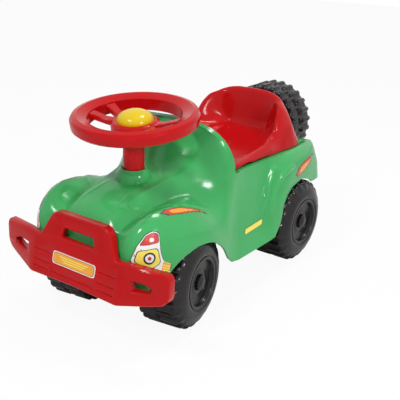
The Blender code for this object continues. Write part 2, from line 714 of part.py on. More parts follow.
def make_axle(name, parent, wheel, cap, label):
    """An axle along X with its washers, wheels, push nuts and caps."""
    disc = hub_disc_place()
    half = disc + GAP + PUSH_NUT_THICKNESS + GAP + AXLE_END - GAP
    add_part(name, rod(name, AXLE_RADIUS, 2 * half, 12), "steel", parent, (-half, 0, 0),
             (0, pi / 2, 0))
    inner = TRACK / 2 - TREAD_WIDTH / 2
    for side, sign in (("left", 1), ("right", -1)):
        outward = (0, sign * pi / 2, 0)
        flat = washer(f"washer_{label}_{side}", AXLE_RADIUS + GAP, WASHER_RADIUS,
                      WASHER_THICKNESS, 12)
        add_part(f"washer_{label}_{side}", flat, "steel", parent,
                 (sign * (inner - GAP - WASHER_THICKNESS), 0, 0), outward)
        nut = washer(f"push_nut_{label}_{side}", AXLE_RADIUS + GAP, PUSH_NUT_RADIUS,
                     PUSH_NUT_THICKNESS, 12)
        add_part(f"push_nut_{label}_{side}", nut, "steel", parent, (sign * (disc + GAP), 0, 0),
                 outward)
        hub = new_empty(f"hub_{label}_{side}", (sign * TRACK / 2, 0, 0), parent,
                        (0, 0, 0 if sign > 0 else pi))
        add_part(f"wheel_{label}_{side}", wheel, "black", hub)
        add_part(f"axle_cap_{label}_{side}", cap, "black", hub, (disc + GAP - TRACK / 2, 0, 0),
                 (0, pi / 2, 0))


# Steering

def make_carrier(name, kind, parent):
    """The front axle carrier: a post for the column and a tube for the axle."""
    setback = COLUMN_SETBACK
    top = BOSS_TOP - SLEEVE_LENGTH - GAP - THRUST_WASHER_THICKNESS - GAP
    post = rod(name, CARRIER_POST_RADIUS, top - (DRAWN_RADIUS - 0.014), 24, 0.0015)
    carrier = add_part(name, post, kind, parent,
                       (0, 0, DRAWN_RADIUS - 0.014 + 2 * (WHEEL_RADIUS - DRAWN_RADIUS)))
    half = TRACK / 2 - TREAD_WIDTH / 2 - WASHER_THICKNESS - 2 * GAP
    tube = add_part("carrier_tube", rod("carrier_tube", CARRIER_TUBE_RADIUS, 2 * half, 16),
                    None, parent, (-half, -setback, WHEEL_RADIUS), (0, pi / 2, 0))
    join(carrier, tube)
    return carrier, top, half


def make_steering(pivot):
    """Column, carrier and steering wheel, drawn straight ahead under a turned pivot."""
    lift = 2 * (WHEEL_RADIUS - DRAWN_RADIUS)
    carrier, top, half = make_carrier("front_axle_carrier", "black", pivot)
    web_outline = [(-half + 0.004, WHEEL_RADIUS - 0.004), (half - 0.004, WHEEL_RADIUS - 0.004),
                   (half - 0.004, WHEEL_RADIUS + 0.008), (0.014, top - 0.010 + lift),
                   (-0.014, top - 0.010 + lift), (-half + 0.004, WHEEL_RADIUS + 0.008)]
    web = outline_prism("carrier_web", web_outline, -CARRIER_WEB / 2 - COLUMN_SETBACK,
                        CARRIER_WEB / 2 - COLUMN_SETBACK, "Y")
    join(carrier, add_part("carrier_web", web, None, pivot))
    socket_floor = top - COLUMN_SOCKET_DEPTH
    socket = rod("column_socket", COLUMN_RADIUS + GAP, COLUMN_SOCKET_DEPTH + 0.01, 24)
    cut(carrier, add_part("column_socket", socket, None, pivot, (0, 0, socket_floor + lift)))
    axle_bore = rod("carrier_bore", AXLE_RADIUS + GAP, 4 * half, 12)
    cut(carrier, add_part("carrier_bore", axle_bore, None, pivot,
                          (-2 * half, -COLUMN_SETBACK, WHEEL_RADIUS), (0, pi / 2, 0)))

    head = column_top()
    column_foot = socket_floor + GAP
    inner = COLUMN_RADIUS - COLUMN_WALL
    screw_bore = HUB_SCREW_RADIUS + GAP
    profile = ((screw_bore, head), (COLUMN_RADIUS - 0.001, head), (COLUMN_RADIUS, head - 0.001),
               (COLUMN_RADIUS, column_foot), (inner, column_foot), (inner, head - 0.006),
               (screw_bore, head - 0.006))
    column = add_part("steering_column", turned("steering_column", profile, 20), "red", pivot,
                      (0, 0, lift))
    pin_z = top - COLUMN_SOCKET_DEPTH / 2 + lift
    for part, place in ((carrier, "carrier"), (column, "column")):
        hole = rod(f"pin_bore_{place}", COLUMN_PIN_RADIUS + GAP, 4 * CARRIER_POST_RADIUS, 12)
        cut(part, add_part(f"pin_bore_{place}", hole, None, pivot,
                           (0, -2 * CARRIER_POST_RADIUS, pin_z), (-pi / 2, 0, 0)))
    pin_half = CARRIER_POST_RADIUS - 0.001
    add_part("column_pin", rod("column_pin", COLUMN_PIN_RADIUS, 2 * pin_half, 12), "steel",
             pivot, (0, -pin_half, pin_z), (-pi / 2, 0, 0))
    add_part("thrust_washer", washer("thrust_washer", COLUMN_RADIUS + GAP, CARRIER_POST_RADIUS,
                                     THRUST_WASHER_THICKNESS, 24), "nylon", pivot,
             (0, 0, top + GAP + lift))


def spoke_form(name, angle, frame):
    """One rib that climbs from the hub to the rim, broader at both ends."""
    drop = -HUB_TOP_DROP
    inner = HUB_RADIUS - 0.006
    outer = STEERING_WHEEL_RADIUS - RIM_WIDTH + 0.006
    stations = ((inner, SPOKE_WIDTH / 2 + 0.003, drop + 0.001),
                (HUB_RADIUS + 0.010, SPOKE_WIDTH / 2, drop + 0.003),
                (outer - 0.012, SPOKE_WIDTH / 2 + 0.001, drop + 0.008),
                (outer, SPOKE_WIDTH / 2 + 0.004, drop + 0.0105))
    loops = []
    for along, half, top in stations:
        loop = []
        for across, height in ((-half, top - SPOKE_DEPTH), (half, top - SPOKE_DEPTH),
                               (half, top - 0.0015), (half - 0.0015, top),
                               (-half + 0.0015, top), (-half, top - 0.0015)):
            loop.append((along * cos(angle) - across * sin(angle),
                         along * sin(angle) + across * cos(angle), height))
        loops.append(loop)
    return add_part(name, loops_mesh(name, loops, False), None, frame)


def make_steering_wheel(pivot, frame):
    """Rim, hub and four ribs; frame is the wheel's plane, origin at its top centre."""
    radius = STEERING_WHEEL_RADIUS
    inner = radius - RIM_WIDTH
    depth = RIM_DEPTH
    rim_profile = ((inner + 0.007, 0.0), (radius - 0.010, RIM_CROWN - 0.001),
                   (radius - 0.003, RIM_CROWN - 0.003),
                   (radius, -0.004), (radius - 0.001, -depth + 0.003), (radius - 0.004, -depth),
                   (inner + 0.004, -depth - 0.004), (inner, -depth - 0.002),
                   (inner + 0.001, -0.003))
    wheel = add_part("steering_wheel", turned("steering_wheel", rim_profile, 44), "red", frame)
    hub_floor = -HUB_TOP_DROP - HUB_DEPTH
    hub_top = -HUB_TOP_DROP + 0.003
    button_bore = BUTTON_RADIUS + RUNNING_GAP
    hub_profile = ((0, hub_floor + HUB_FLOOR), (button_bore, hub_floor + HUB_FLOOR),
                   (button_bore, hub_top), (button_bore + 0.004, hub_top),
                   (HUB_RADIUS, -HUB_TOP_DROP), (HUB_RADIUS, hub_floor), (0, hub_floor))
    hub = add_part("hub_form", turned("hub_form", hub_profile, 28, closed=False), None, frame)
    join(wheel, hub)
    for k, centre in enumerate((0, 0, pi, pi)):
        angle = centre + (SPOKE_SPREAD if k % 2 else -SPOKE_SPREAD) - REST_STEER
        join(wheel, spoke_form(f"spoke_{k + 1}", angle, frame))
    lift = 2 * (WHEEL_RADIUS - DRAWN_RADIUS)
    tube_top = STEERING_WHEEL_HEIGHT + hub_floor + 0.001
    tube_floor = column_top() + GAP
    tube_foot = tube_top - HUB_TUBE_LENGTH
    bore = COLUMN_RADIUS + GAP
    tube_profile = ((0, tube_top), (HUB_TUBE_RADIUS, tube_top), (HUB_TUBE_RADIUS, tube_foot),
                    (bore, tube_foot), (bore, tube_floor), (0, tube_floor))
    tube = add_part("hub_tube", turned("hub_tube", tube_profile, 24, closed=False), None, pivot,
                    (0, 0, lift))
    join(wheel, tube)
    head_z = STEERING_WHEEL_HEIGHT + hub_floor + HUB_FLOOR + 0.001
    hole = rod("hub_screw_bore", HUB_SCREW_RADIUS + GAP, 0.02, 12)
    cut(wheel, add_part("hub_screw_bore", hole, None, pivot, (0, 0, head_z + lift - 0.015)))
    fastener = screw("steering_wheel_screw", HUB_SCREW_RADIUS, HUB_SCREW_LENGTH, HUB_SCREW_HEAD,
                     HUB_SCREW_HEAD_HEIGHT, 12)
    add_part("steering_wheel_screw", fastener, "steel", pivot, (0, 0, head_z + lift))
    return hub_floor


def column_top():
    """Height of the column's top, just below the tilted floor of the steering wheel's hub."""
    return (STEERING_WHEEL_HEIGHT - HUB_TOP_DROP - HUB_DEPTH
            - COLUMN_RADIUS * sin(STEERING_WHEEL_TILT) - 2 * GAP)


def make_horn(button_pivot, hub_floor):
    """The push button and the bellows that lifts it; heights from the wheel's top plane."""
    base = -HUB_TOP_DROP + 0.003
    skirt = base - BUTTON_SKIRT + BUTTON_TRAVEL
    inner = BUTTON_RADIUS - BUTTON_WALL
    outer = [(0.0, base + BUTTON_DOME)]
    for k in range(1, 7):
        angle = radians(90 - 15 * k)
        outer.append((BUTTON_RADIUS * cos(angle), base + BUTTON_DOME * sin(angle)))
    under = []
    for k in (5, 3, 1):
        angle = radians(90 - 15 * k)
        under.append((inner * cos(angle), base + (BUTTON_DOME - BUTTON_WALL) * sin(angle)))
    profile = outer + [(BUTTON_RADIUS, skirt), (inner, skirt)] + under
    profile.append((0.0, base + BUTTON_DOME - BUTTON_WALL))
    add_part("horn_button", turned("horn_button", profile, 24, closed=False), "yellow",
             button_pivot)


def make_bellows(frame, hub_floor):
    foot = hub_floor + HUB_FLOOR + GAP
    top = -HUB_TOP_DROP + 0.003 + (BUTTON_DOME - BUTTON_WALL) * 0.88
    folds = 3
    profile = [(0.0, top), (BELLOWS_RADIUS * 0.6, top)]
    for k in range(folds):
        share = (k + 0.5) / folds
        profile.append((BELLOWS_RADIUS, top + (foot - top) * share))
        profile.append((BELLOWS_RADIUS * 0.75, top + (foot - top) * (k + 1) / folds))
    profile[-1] = (BELLOWS_RADIUS * 0.9, foot)
    profile += [(BELLOWS_RADIUS * 0.7, foot), (BELLOWS_RADIUS * 0.55, top - 0.002),
                (0.0, top - 0.002)]
    add_part("horn_bellows", turned("horn_bellows", profile, 16, closed=False), "rubber", frame)


# Bumper

def bumper_place(u, v, w):
    """A point of the bumper's face: u across, v up from the bottom edge, w behind it."""
    side = 1 if u >= 0 else -1
    along_wing = max(abs(u) - BUMPER_BEND, 0.0)
    x = min(abs(u), BUMPER_BEND) + along_wing * cos(WING_SWEEP)
    lean = v * sin(BUMPER_LEAN) * (1 - along_wing / WING_LENGTH)
    return Vector((side * x, -BUMPER_FRONT + along_wing * sin(WING_SWEEP) + lean + w,
                   BUMPER_BOTTOM + v * cos(BUMPER_LEAN)))


def make_bumper(origin, body):
    """A panel with three windows, flanged back round every edge."""
    end = BUMPER_BEND + WING_LENGTH
    half = [(0.0, 0.002), (BUMPER_BEND - 0.003, 0.0), (BUMPER_BEND + 0.004, 0.0)]
    half += [(end - 0.025, 0.0085), (end - 0.009, 0.013), (end - 0.002, 0.020), (end, 0.027)]
    half += [(end, WING_TOP - 0.009), (end - 0.0015, WING_TOP - 0.004), (end - 0.005, WING_TOP)]
    half += [(BUMPER_BEND + 0.020, WING_TOP + 0.0005), (BUMPER_BEND - 0.008, WING_TOP + 0.001)]
    half += [(0.070, WING_TOP + 0.005), (0.0605, HOOP_TOP - 0.016), (0.055, HOOP_TOP - 0.006)]
    half += [(0.049, HOOP_TOP - 0.0015), (0.041, HOOP_TOP)]
    outline = half + [(-u, v) for u, v in reversed(half[1:])]
    hoop = rounded(((-0.032, 0.064), (0.032, 0.064), (0.028, 0.0785), (-0.028, 0.0785)), 0.003)
    wing = ((0.102, 0.0245), (0.122, 0.0255), (0.1335, 0.0285), (0.1345, 0.032),
            (0.123, 0.038), (0.098, 0.038))
    wing = rounded(wing, 0.002)
    other = [(-u, v) for u, v in reversed(wing)]
    bm = bmesh.new()
    borders = []
    for loop in (outline, hoop, wing, other):
        corners = [bm.verts.new((u, v, 0.0)) for u, v in loop]
        borders += [bm.edges.new((a, b)) for a, b in zip(corners, corners[1:] + corners[:1])]
    bmesh.ops.triangle_fill(bm, edges=borders, use_beauty=True, use_dissolve=False)
    for bend in (-BUMPER_BEND, BUMPER_BEND):
        bmesh.ops.bisect_plane(bm, geom=bm.verts[:] + bm.edges[:] + bm.faces[:],
                               plane_co=(bend, 0, 0), plane_no=(1, 0, 0))
    bmesh.ops.recalc_face_normals(bm, faces=bm.faces)
    if bm.faces[:][0].normal.z < 0:
        bmesh.ops.reverse_faces(bm, faces=bm.faces)
    rim_edges = [edge for edge in bm.edges if edge.is_boundary]
    for level in ("edge", "back"):
        fresh = bmesh.ops.extrude_edge_only(bm, edges=rim_edges)["geom"]
        for vert in [item for item in fresh if isinstance(item, bmesh.types.BMVert)]:
            clear = abs(vert.co.x) > BUMPER_BEND + 0.01 or vert.co.y > HOOP_TOP - 0.030
            flange = BUMPER_DEEP_FLANGE if clear else BUMPER_FLANGE
            vert.co.z = -BUMPER_EDGE if level == "edge" else -flange
        rim_edges = [item for item in fresh if isinstance(item, bmesh.types.BMEdge)
                     and item.is_boundary]
    ease_front_edge(bm)
    for vert in bm.verts:
        vert.co = bumper_place(vert.co.x, vert.co.y, -vert.co.z)
    bumper = add_part("bumper", mesh_from(bm, "bumper"), "red", origin)
    wall = bumper.modifiers.new("wall", "SOLIDIFY")
    wall.thickness = BUMPER_WALL
    wall.offset = -1.0
    inner, outer = GROOVE_SPAN
    spans = [(sign * inner, sign * outer, height) for sign in (-1, 1) for height in GROOVE_HEIGHTS]
    spans.append((-inner + 0.005, inner - 0.005, GROOVE_HEIGHTS[0]))
    for number, (start, end, height) in enumerate(spans):
        low, high = height - GROOVE_WIDTH / 2, height + GROOVE_WIDTH / 2
        loops = [[bumper_place(u, v, w) for v, w in ((low, -0.001), (high, -0.001),
                                                     (high - 0.0006, GROOVE_DEPTH),
                                                     (low + 0.0006, GROOVE_DEPTH))]
                 for u in (start, end)]
        name = f"groove_{number + 1}"
        cut(bumper, add_part(name, loops_mesh(name, loops, False), None, origin))
    nose = -NOSE_BACK - GAP
    for side, sign in (("left", 1), ("right", -1)):
        middle = (sign * BUMPER_POST_X, BUMPER_POST_RISE)
        round_post = arc(middle, BUMPER_POST_RADIUS, 0, 360 - 360 / 16, 15)
        front = [bumper_place(u, v, BUMPER_WALL / 2) for u, v in round_post]
        back = [Vector((point.x, nose, point.z)) for point in front]
        join(bumper, add_part(f"post_{side}", loops_mesh(f"post_{side}", (front, back), False),
                              None, origin))
        height = bumper_place(*middle, 0).z
        inside = -NOSE_BACK + WALL + GAP
        hole = rod(f"post_bore_{side}", SCREW_RADIUS + GAP, BUMPER_SCREW_LENGTH + GAP, 10)
        tool = add_part(f"post_bore_{side}", hole, None, origin,
                        (sign * BUMPER_POST_X, inside + GAP, height), (pi / 2, 0, 0))
        cut(bumper, tool)
        cut(body, tool)
        fastener = screw(f"bumper_screw_{side}", SCREW_RADIUS, BUMPER_SCREW_LENGTH,
                         SCREW_HEAD_RADIUS, SCREW_HEAD_HEIGHT)
        add_part(f"bumper_screw_{side}", fastener, "steel", origin,
                 (sign * BUMPER_POST_X, inside, height), (-pi / 2, 0, 0))
    return bumper


def rounded(corners, radius):
    """An outline with each corner cut by two short edges."""
    result = []
    count = len(corners)
    for k in range(count):
        here = Vector(corners[k])
        before = (Vector(corners[k - 1]) - here).normalized()
        after = (Vector(corners[(k + 1) % count]) - here).normalized()
        result.append(tuple(here + before * radius))
        result.append(tuple(here + (before + after) * radius * 0.3))
        result.append(tuple(here + after * radius))
    return result


def ease_front_edge(bm):
    """Draws the face's own edge inwards, so that face and flange meet in a chamfer."""
    moves = {}
    for face in bm.faces:
        if abs(face.normal.z) < 0.5:
            front = [vert for vert in face.verts if abs(vert.co.z) < 1e-7]
            for vert in front:
                moves.setdefault(vert, []).append(Vector((face.normal.x, face.normal.y, 0.0)))
    for vert, normals in moves.items():
        mean = sum(normals, Vector((0, 0, 0)))
        if mean.length > 0:
            mean.normalize()
            share = max(sum(mean.dot(normal) for normal in normals) / len(normals), 0.5)
            vert.co -= mean * BUMPER_EDGE / share


def make_rear_carrier(rear, origin, body):
    """The bracket under the tub floor: a plate, two legs, the axle tube, screw bosses."""
    lift = 2 * (WHEEL_RADIUS - DRAWN_RADIUS)
    top = TUB_FLOOR_Z + lift - WALL - GAP
    foot = top - CARRIER_PLATE
    half = TRACK / 2 - TREAD_WIDTH / 2 - WASHER_THICKNESS - 2 * GAP
    plate = box("rear_axle_carrier", (-CARRIER_HALF_WIDTH, WHEELBASE - CARRIER_HALF_LENGTH, foot),
                (CARRIER_HALF_WIDTH, WHEELBASE + CARRIER_HALF_LENGTH, top))
    carrier = add_part("rear_axle_carrier", plate, "black", origin)
    tube = rod("rear_tube", CARRIER_TUBE_RADIUS, 2 * half, 16)
    join(carrier, add_part("rear_tube", tube, None, rear, (-half, 0, 0), (0, pi / 2, 0)))
    shoulder = CARRIER_TUBE_RADIUS - 0.001
    flare = CARRIER_HALF_LENGTH - 0.004
    outline = [(WHEELBASE - shoulder, WHEEL_RADIUS), (WHEELBASE + shoulder, WHEEL_RADIUS),
               (WHEELBASE + flare, top - 0.001), (WHEELBASE - flare, top - 0.001)]
    for side, sign in (("left", 1), ("right", -1)):
        outer = CARRIER_HALF_WIDTH - 0.002
        low, high = sorted((sign * outer, sign * (outer - LEG_THICKNESS)))
        leg = outline_prism(f"leg_{side}", outline, low, high, "X")
        join(carrier, add_part(f"leg_{side}", leg, None, origin))
    cut(carrier, add_part("rear_bore", rod("rear_bore", AXLE_RADIUS + GAP, 4 * half, 12), None,
                          rear, (-2 * half, 0, 0), (0, pi / 2, 0)))
    number = 0
    for x in (-CARRIER_SCREW_X, CARRIER_SCREW_X):
        for y in (WHEELBASE - CARRIER_SCREW_Y, WHEELBASE + CARRIER_SCREW_Y):
            number += 1
            boss = rod(f"boss_{number}", CARRIER_BOSS_RADIUS, CARRIER_BOSS_LENGTH + 0.001, 12)
            join(carrier, add_part(f"boss_{number}", boss, None, origin,
                                   (x, y, foot - CARRIER_BOSS_LENGTH)))
            length = CARRIER_PLATE + CARRIER_BOSS_LENGTH
            hole = rod(f"boss_bore_{number}", SCREW_RADIUS + GAP, 3 * length, 10)
            tool = add_part(f"boss_bore_{number}", hole, None, origin, (x, y, top - 1.5 * length))
            cut(carrier, tool)
            cut(body, tool)
            fastener = screw(f"rear_carrier_screw_{number}", SCREW_RADIUS, length,
                             SCREW_HEAD_RADIUS, SCREW_HEAD_HEIGHT)
            add_part(f"rear_carrier_screw_{number}", fastener, "steel", origin,
                     (x, y, TUB_FLOOR_Z + lift + GAP))


def panel_y(z):
    """Outer face of the rear panel's middle, at a height above the ground."""
    lift = 2 * (WHEEL_RADIUS - DRAWN_RADIUS)
    return PANEL_TOP_Y + WHEELBASE - DRAWN_WHEELBASE + (PANEL_TOP_Z + lift - z) * PANEL_RAKE


def make_spare(origin, body, wheel):
    """The bracket on the rear panel and the spare wheel on its bolt."""
    lift = 2 * (WHEEL_RADIUS - DRAWN_RADIUS)
    shift = WHEELBASE - DRAWN_WHEELBASE
    centre_z = SPARE_Z + lift
    face = SPARE_FACE_Y + shift
    outline = [(SPARE_X - SPARE_PLATE_HALF_WIDTH, centre_z - SPARE_PLATE_DROP),
               (SPARE_X + SPARE_PLATE_HALF_WIDTH, centre_z - SPARE_PLATE_DROP)]
    outline += arc((SPARE_X, centre_z), SPARE_PLATE_HALF_WIDTH, 0, 180, 12)
    front = [(x, panel_y(z) + GAP, z) for x, z in outline]
    back = [(x, face - GAP, z) for x, z in outline]
    plate = loops_mesh("spare_bracket", (front, back), False)
    bracket = add_part("spare_bracket", plate, "green", origin)
    seat_y = panel_y(centre_z - SPARE_NUT_RADIUS) + 2 * GAP
    spot = rod("nut_seat", SPARE_NUT_RADIUS + 0.002, 0.02, 16)
    cut(bracket, add_part("nut_seat", spot, None, origin, (SPARE_X, seat_y, centre_z),
                          (pi / 2, 0, 0)))
    bolt_hole = rod("bolt_hole", AXLE_RADIUS + GAP, 0.04, 12)
    cut(bracket, add_part("bolt_hole", bolt_hole, None, origin,
                          (SPARE_X, face + 0.01, centre_z), (pi / 2, 0, 0)))
    disc = TREAD_WIDTH + SIDEWALL_BULGE - HUB_DISC_DEPTH
    head_y = face + disc + GAP
    bolt_end = seat_y - SPARE_NUT_THICKNESS - 0.002
    profile = ((0, 0.005), (SPARE_BOLT_HEAD - 0.002, 0.0045), (SPARE_BOLT_HEAD, 0.002),
               (SPARE_BOLT_HEAD, 0), (AXLE_RADIUS, 0), (AXLE_RADIUS, bolt_end - head_y + 0.001),
               (AXLE_RADIUS - 0.001, bolt_end - head_y), (0, bolt_end - head_y))
    add_part("spare_bolt", turned("spare_bolt", profile, 16, closed=False), "black", origin,
             (SPARE_X, head_y, centre_z), (-pi / 2, 0, 0))
    nut = washer("spare_nut", AXLE_RADIUS + GAP, SPARE_NUT_RADIUS, SPARE_NUT_THICKNESS, 12)
    add_part("spare_nut", nut, "steel", origin,
             (SPARE_X, seat_y - GAP - SPARE_NUT_THICKNESS, centre_z), (-pi / 2, 0, 0))
    hub = new_empty("spare_hub", (SPARE_X, face + TREAD_WIDTH / 2, centre_z), origin,
                    (0, 0, pi / 2))
    add_part("spare_wheel", wheel, "black", hub)
    for name, drop in (("upper", 0.030), ("lower", 0.044)):
        z = centre_z - drop
        hole = rod(f"bracket_bore_{name}", SCREW_RADIUS + GAP, 0.04, 10)
        tool = add_part(f"bracket_bore_{name}", hole, None, origin, (SPARE_X, face + 0.01, z),
                        (pi / 2, 0, 0))
        cut(bracket, tool)
        cut(body, tool)
        fastener = screw(f"bracket_screw_{name}", SCREW_RADIUS, face - panel_y(z) + WALL + 0.001,
                         SCREW_HEAD_RADIUS, SCREW_HEAD_HEIGHT)
        add_part(f"bracket_screw_{name}", fastener, "steel", origin, (SPARE_X, face, z),
                 (-pi / 2, 0, 0))


def build():
    frame_y = -(SPARE_FACE_Y + TREAD_WIDTH + SIDEWALL_BULGE + WHEELBASE - DRAWN_WHEELBASE
                - BUMPER_FRONT) / 2
    origin = new_empty("car", (0, frame_y, 0))
    lift = 2 * (WHEEL_RADIUS - DRAWN_RADIUS)
    body = make_body(origin)
    seat_pivot = new_empty("seat_pivot", (0, HINGE_Y, HINGE_Z + lift), origin)
    make_seat(seat_pivot, origin)

    wheel = wheel_mesh()
    cap = cap_mesh()
    steering = new_empty("steering_pivot", (0, COLUMN_SETBACK, 0), origin, (0, 0, REST_STEER))
    make_steering(steering)
    front = new_empty("front_axle_line", (0, -COLUMN_SETBACK, WHEEL_RADIUS), steering)
    make_axle("front_axle", front, wheel, cap, "front")
    wheel_frame = new_empty("steering_wheel_plane",
                            (0, STEERING_WHEEL_SETBACK - COLUMN_SETBACK, STEERING_WHEEL_HEIGHT + lift),
                            steering, (STEERING_WHEEL_TILT, 0, 0))
    hub_floor = make_steering_wheel(steering, wheel_frame)
    make_horn(wheel_frame, hub_floor)
    make_bellows(wheel_frame, hub_floor)
    rear = new_empty("rear_axle_line", (0, WHEELBASE, WHEEL_RADIUS), origin)
    make_axle("rear_axle", rear, wheel, cap, "rear")
    make_rear_carrier(rear, origin, body)
    make_bumper(origin, body)
    make_spare(origin, body, wheel)


build()
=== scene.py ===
import json
import math

import bmesh
import bpy
from mathutils import Matrix, Vector
from mathutils.bvhtree import BVHTree
from mathutils.geometry import delaunay_2d_cdt


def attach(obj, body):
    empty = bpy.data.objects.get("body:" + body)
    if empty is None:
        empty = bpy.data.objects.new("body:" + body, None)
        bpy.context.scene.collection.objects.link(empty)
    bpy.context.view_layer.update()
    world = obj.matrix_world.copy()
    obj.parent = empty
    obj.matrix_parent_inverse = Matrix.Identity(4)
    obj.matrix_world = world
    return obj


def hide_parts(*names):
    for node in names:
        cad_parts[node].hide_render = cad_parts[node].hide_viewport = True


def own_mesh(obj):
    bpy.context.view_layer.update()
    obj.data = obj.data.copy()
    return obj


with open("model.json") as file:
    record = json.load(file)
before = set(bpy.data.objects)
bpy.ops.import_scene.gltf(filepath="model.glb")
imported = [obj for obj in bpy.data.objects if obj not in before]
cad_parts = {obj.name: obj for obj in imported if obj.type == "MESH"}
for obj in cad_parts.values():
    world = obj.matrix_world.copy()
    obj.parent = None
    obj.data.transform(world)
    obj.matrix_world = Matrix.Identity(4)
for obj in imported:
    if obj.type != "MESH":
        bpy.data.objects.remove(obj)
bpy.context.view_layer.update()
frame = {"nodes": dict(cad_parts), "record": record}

# The car's own frame has its front axle at y = 0; the model's frame is centred
CAR_Y = -0.1735
MM = 0.001

# Camera, fitted to the photograph
CAMERA_AZIMUTH = math.radians(38.65)
CAMERA_ELEVATION = math.radians(20.11)
CAMERA_ROLL = math.radians(0.695)
CAMERA_TARGET = Vector((0.09157, -0.05797 + CAR_Y, 0.23604))
CAMERA_DISTANCE = 1.0
FOCAL_PIXELS = 751.8
IMAGE_SIDE = 400
IMAGE_CENTRE = (154.98, 186.02)
SENSOR = 36.0
CLIP_END = 20.0


def place(x, y, z):
    """A point of the car's own frame, in mm, in the model's frame."""
    return Vector((x * MM, y * MM + CAR_Y, z * MM))


def add_object(name, data):
    """A new object in the scene that shows the given data."""
    made = bpy.data.objects.new(name, data)
    bpy.context.scene.collection.objects.link(made)
    return made


def mesh_from(name, bm, material, smooth=False):
    """A mesh with one material, made from a bmesh, which is freed."""
    bmesh.ops.recalc_face_normals(bm, faces=bm.faces)
    mesh = bpy.data.meshes.new(name)
    bm.to_mesh(mesh)
    bm.free()
    for face in mesh.polygons:
        face.use_smooth = smooth
    mesh.materials.append(material)
    return mesh


def make_camera():
    data = bpy.data.cameras.new("camera")
    data.sensor_fit = "HORIZONTAL"
    data.sensor_width = SENSOR
    data.lens = FOCAL_PIXELS * SENSOR / IMAGE_SIDE
    data.shift_x = (IMAGE_SIDE / 2 - IMAGE_CENTRE[0]) / IMAGE_SIDE
    data.shift_y = (IMAGE_CENTRE[1] - IMAGE_SIDE / 2) / IMAGE_SIDE
    data.clip_end = CLIP_END
    a, e, r = CAMERA_AZIMUTH, CAMERA_ELEVATION, CAMERA_ROLL
    back = Vector((math.sin(a) * math.cos(e), -math.cos(a) * math.cos(e), math.sin(e)))
    right = Vector((math.cos(a), math.sin(a), 0.0))
    up = back.cross(right)
    right, up = (right * math.cos(r) + up * math.sin(r), up * math.cos(r) - right * math.sin(r))
    turn = Matrix((right, up, back)).transposed().to_4x4()
    camera = add_object("camera", data)
    camera.matrix_world = Matrix.Translation(CAMERA_TARGET + back * CAMERA_DISTANCE) @ turn
    bpy.context.scene.camera = camera


# Materials

COAT_ROUGHNESS = 0.08


class Surface:
    """A Principled material and short ways to add nodes to it."""

    def __init__(self, name, roughness=0.3, metallic=0.0, coat=0.0, specular=0.5):
        self.material = bpy.data.materials.new(name)
        self.material.use_nodes = True
        self.nodes = self.material.node_tree.nodes
        self.links = self.material.node_tree.links
        self.shader = self.nodes["Principled BSDF"]
        self.shader.inputs["Roughness"].default_value = roughness
        self.shader.inputs["Metallic"].default_value = metallic
        self.shader.inputs["Coat Weight"].default_value = coat
        self.shader.inputs["Coat Roughness"].default_value = COAT_ROUGHNESS
        self.shader.inputs["Specular IOR Level"].default_value = specular
        self.place = self.nodes.new("ShaderNodeTexCoord").outputs["Object"]

    def join(self, source, target):
        self.links.new(source, target)

    def noise(self, scale, detail=3.0, roughness=0.5, stretch=None):
        """A noise value; its scale counts features in a metre."""
        node = self.nodes.new("ShaderNodeTexNoise")
        node.inputs["Scale"].default_value = scale
        node.inputs["Detail"].default_value = detail
        node.inputs["Roughness"].default_value = roughness
        source = self.place
        if stretch:
            mapping = self.nodes.new("ShaderNodeMapping")
            mapping.inputs["Scale"].default_value = stretch
            self.join(source, mapping.inputs["Vector"])
            source = mapping.outputs["Vector"]
        self.join(source, node.inputs["Vector"])
        return node.outputs["Fac"]

    def ranged(self, value, low, high, to_low, to_high):
        node = self.nodes.new("ShaderNodeMapRange")
        for key, number in (("From Min", low), ("From Max", high), ("To Min", to_low),
                            ("To Max", to_high)):
            node.inputs[key].default_value = number
        self.join(value, node.inputs["Value"])
        return node.outputs["Result"]

    def blend(self, share, first, second):
        node = self.nodes.new("ShaderNodeMix")
        node.data_type = "RGBA"
        for key, colour in ((6, first), (7, second)):
            if isinstance(colour, tuple):
                node.inputs[key].default_value = (*colour, 1.0)
            else:
                self.join(colour, node.inputs[key])
        self.join(share, node.inputs[0])
        return node.outputs[2]

    def bump(self, height, distance, strength=1.0):
        node = self.nodes.new("ShaderNodeBump")
        node.inputs["Distance"].default_value = distance
        node.inputs["Strength"].default_value = strength
        self.join(height, node.inputs["Height"])
        normal = self.shader.inputs["Normal"]
        if normal.is_linked:
            self.join(normal.links[0].from_socket, node.inputs["Normal"])
        self.join(node.outputs["Normal"], normal)

    def colour(self, source):
        self.join(source, self.shader.inputs["Base Color"])

    def roughness(self, source):
        self.join(source, self.shader.inputs["Roughness"])


def shade(colour, factor):
    return tuple(min(channel * factor, 1.0) for channel in colour)


def moulded(name, colour, roughness, wave=0.0004, specular=0.22):
    """Glossy moulded plastic: faint flow marks, a slightly wavy skin and rubbed patches."""
    surface = Surface(name, roughness, specular=specular)
    flow = surface.ranged(surface.noise(9, 4, 0.6, (1, 0.6, 1.6)), 0.3, 0.7, 0.0, 1.0)
    body = surface.blend(flow, shade(colour, 0.93), shade(colour, 1.06))
    cloud = surface.ranged(surface.noise(70, 3), 0.35, 0.75, 0.0, 0.12)
    surface.colour(surface.blend(cloud, body, shade(colour, 1.3)))
    rub = surface.noise(45, 5, 0.65, (0.5, 2.0, 1.0))
    surface.roughness(surface.ranged(rub, 0.35, 0.75, roughness * 0.85, roughness * 1.3))
    surface.bump(surface.noise(30, 1.5), wave, 0.5)
    surface.bump(surface.noise(700, 1), 0.000008, 0.5)
    return surface.material


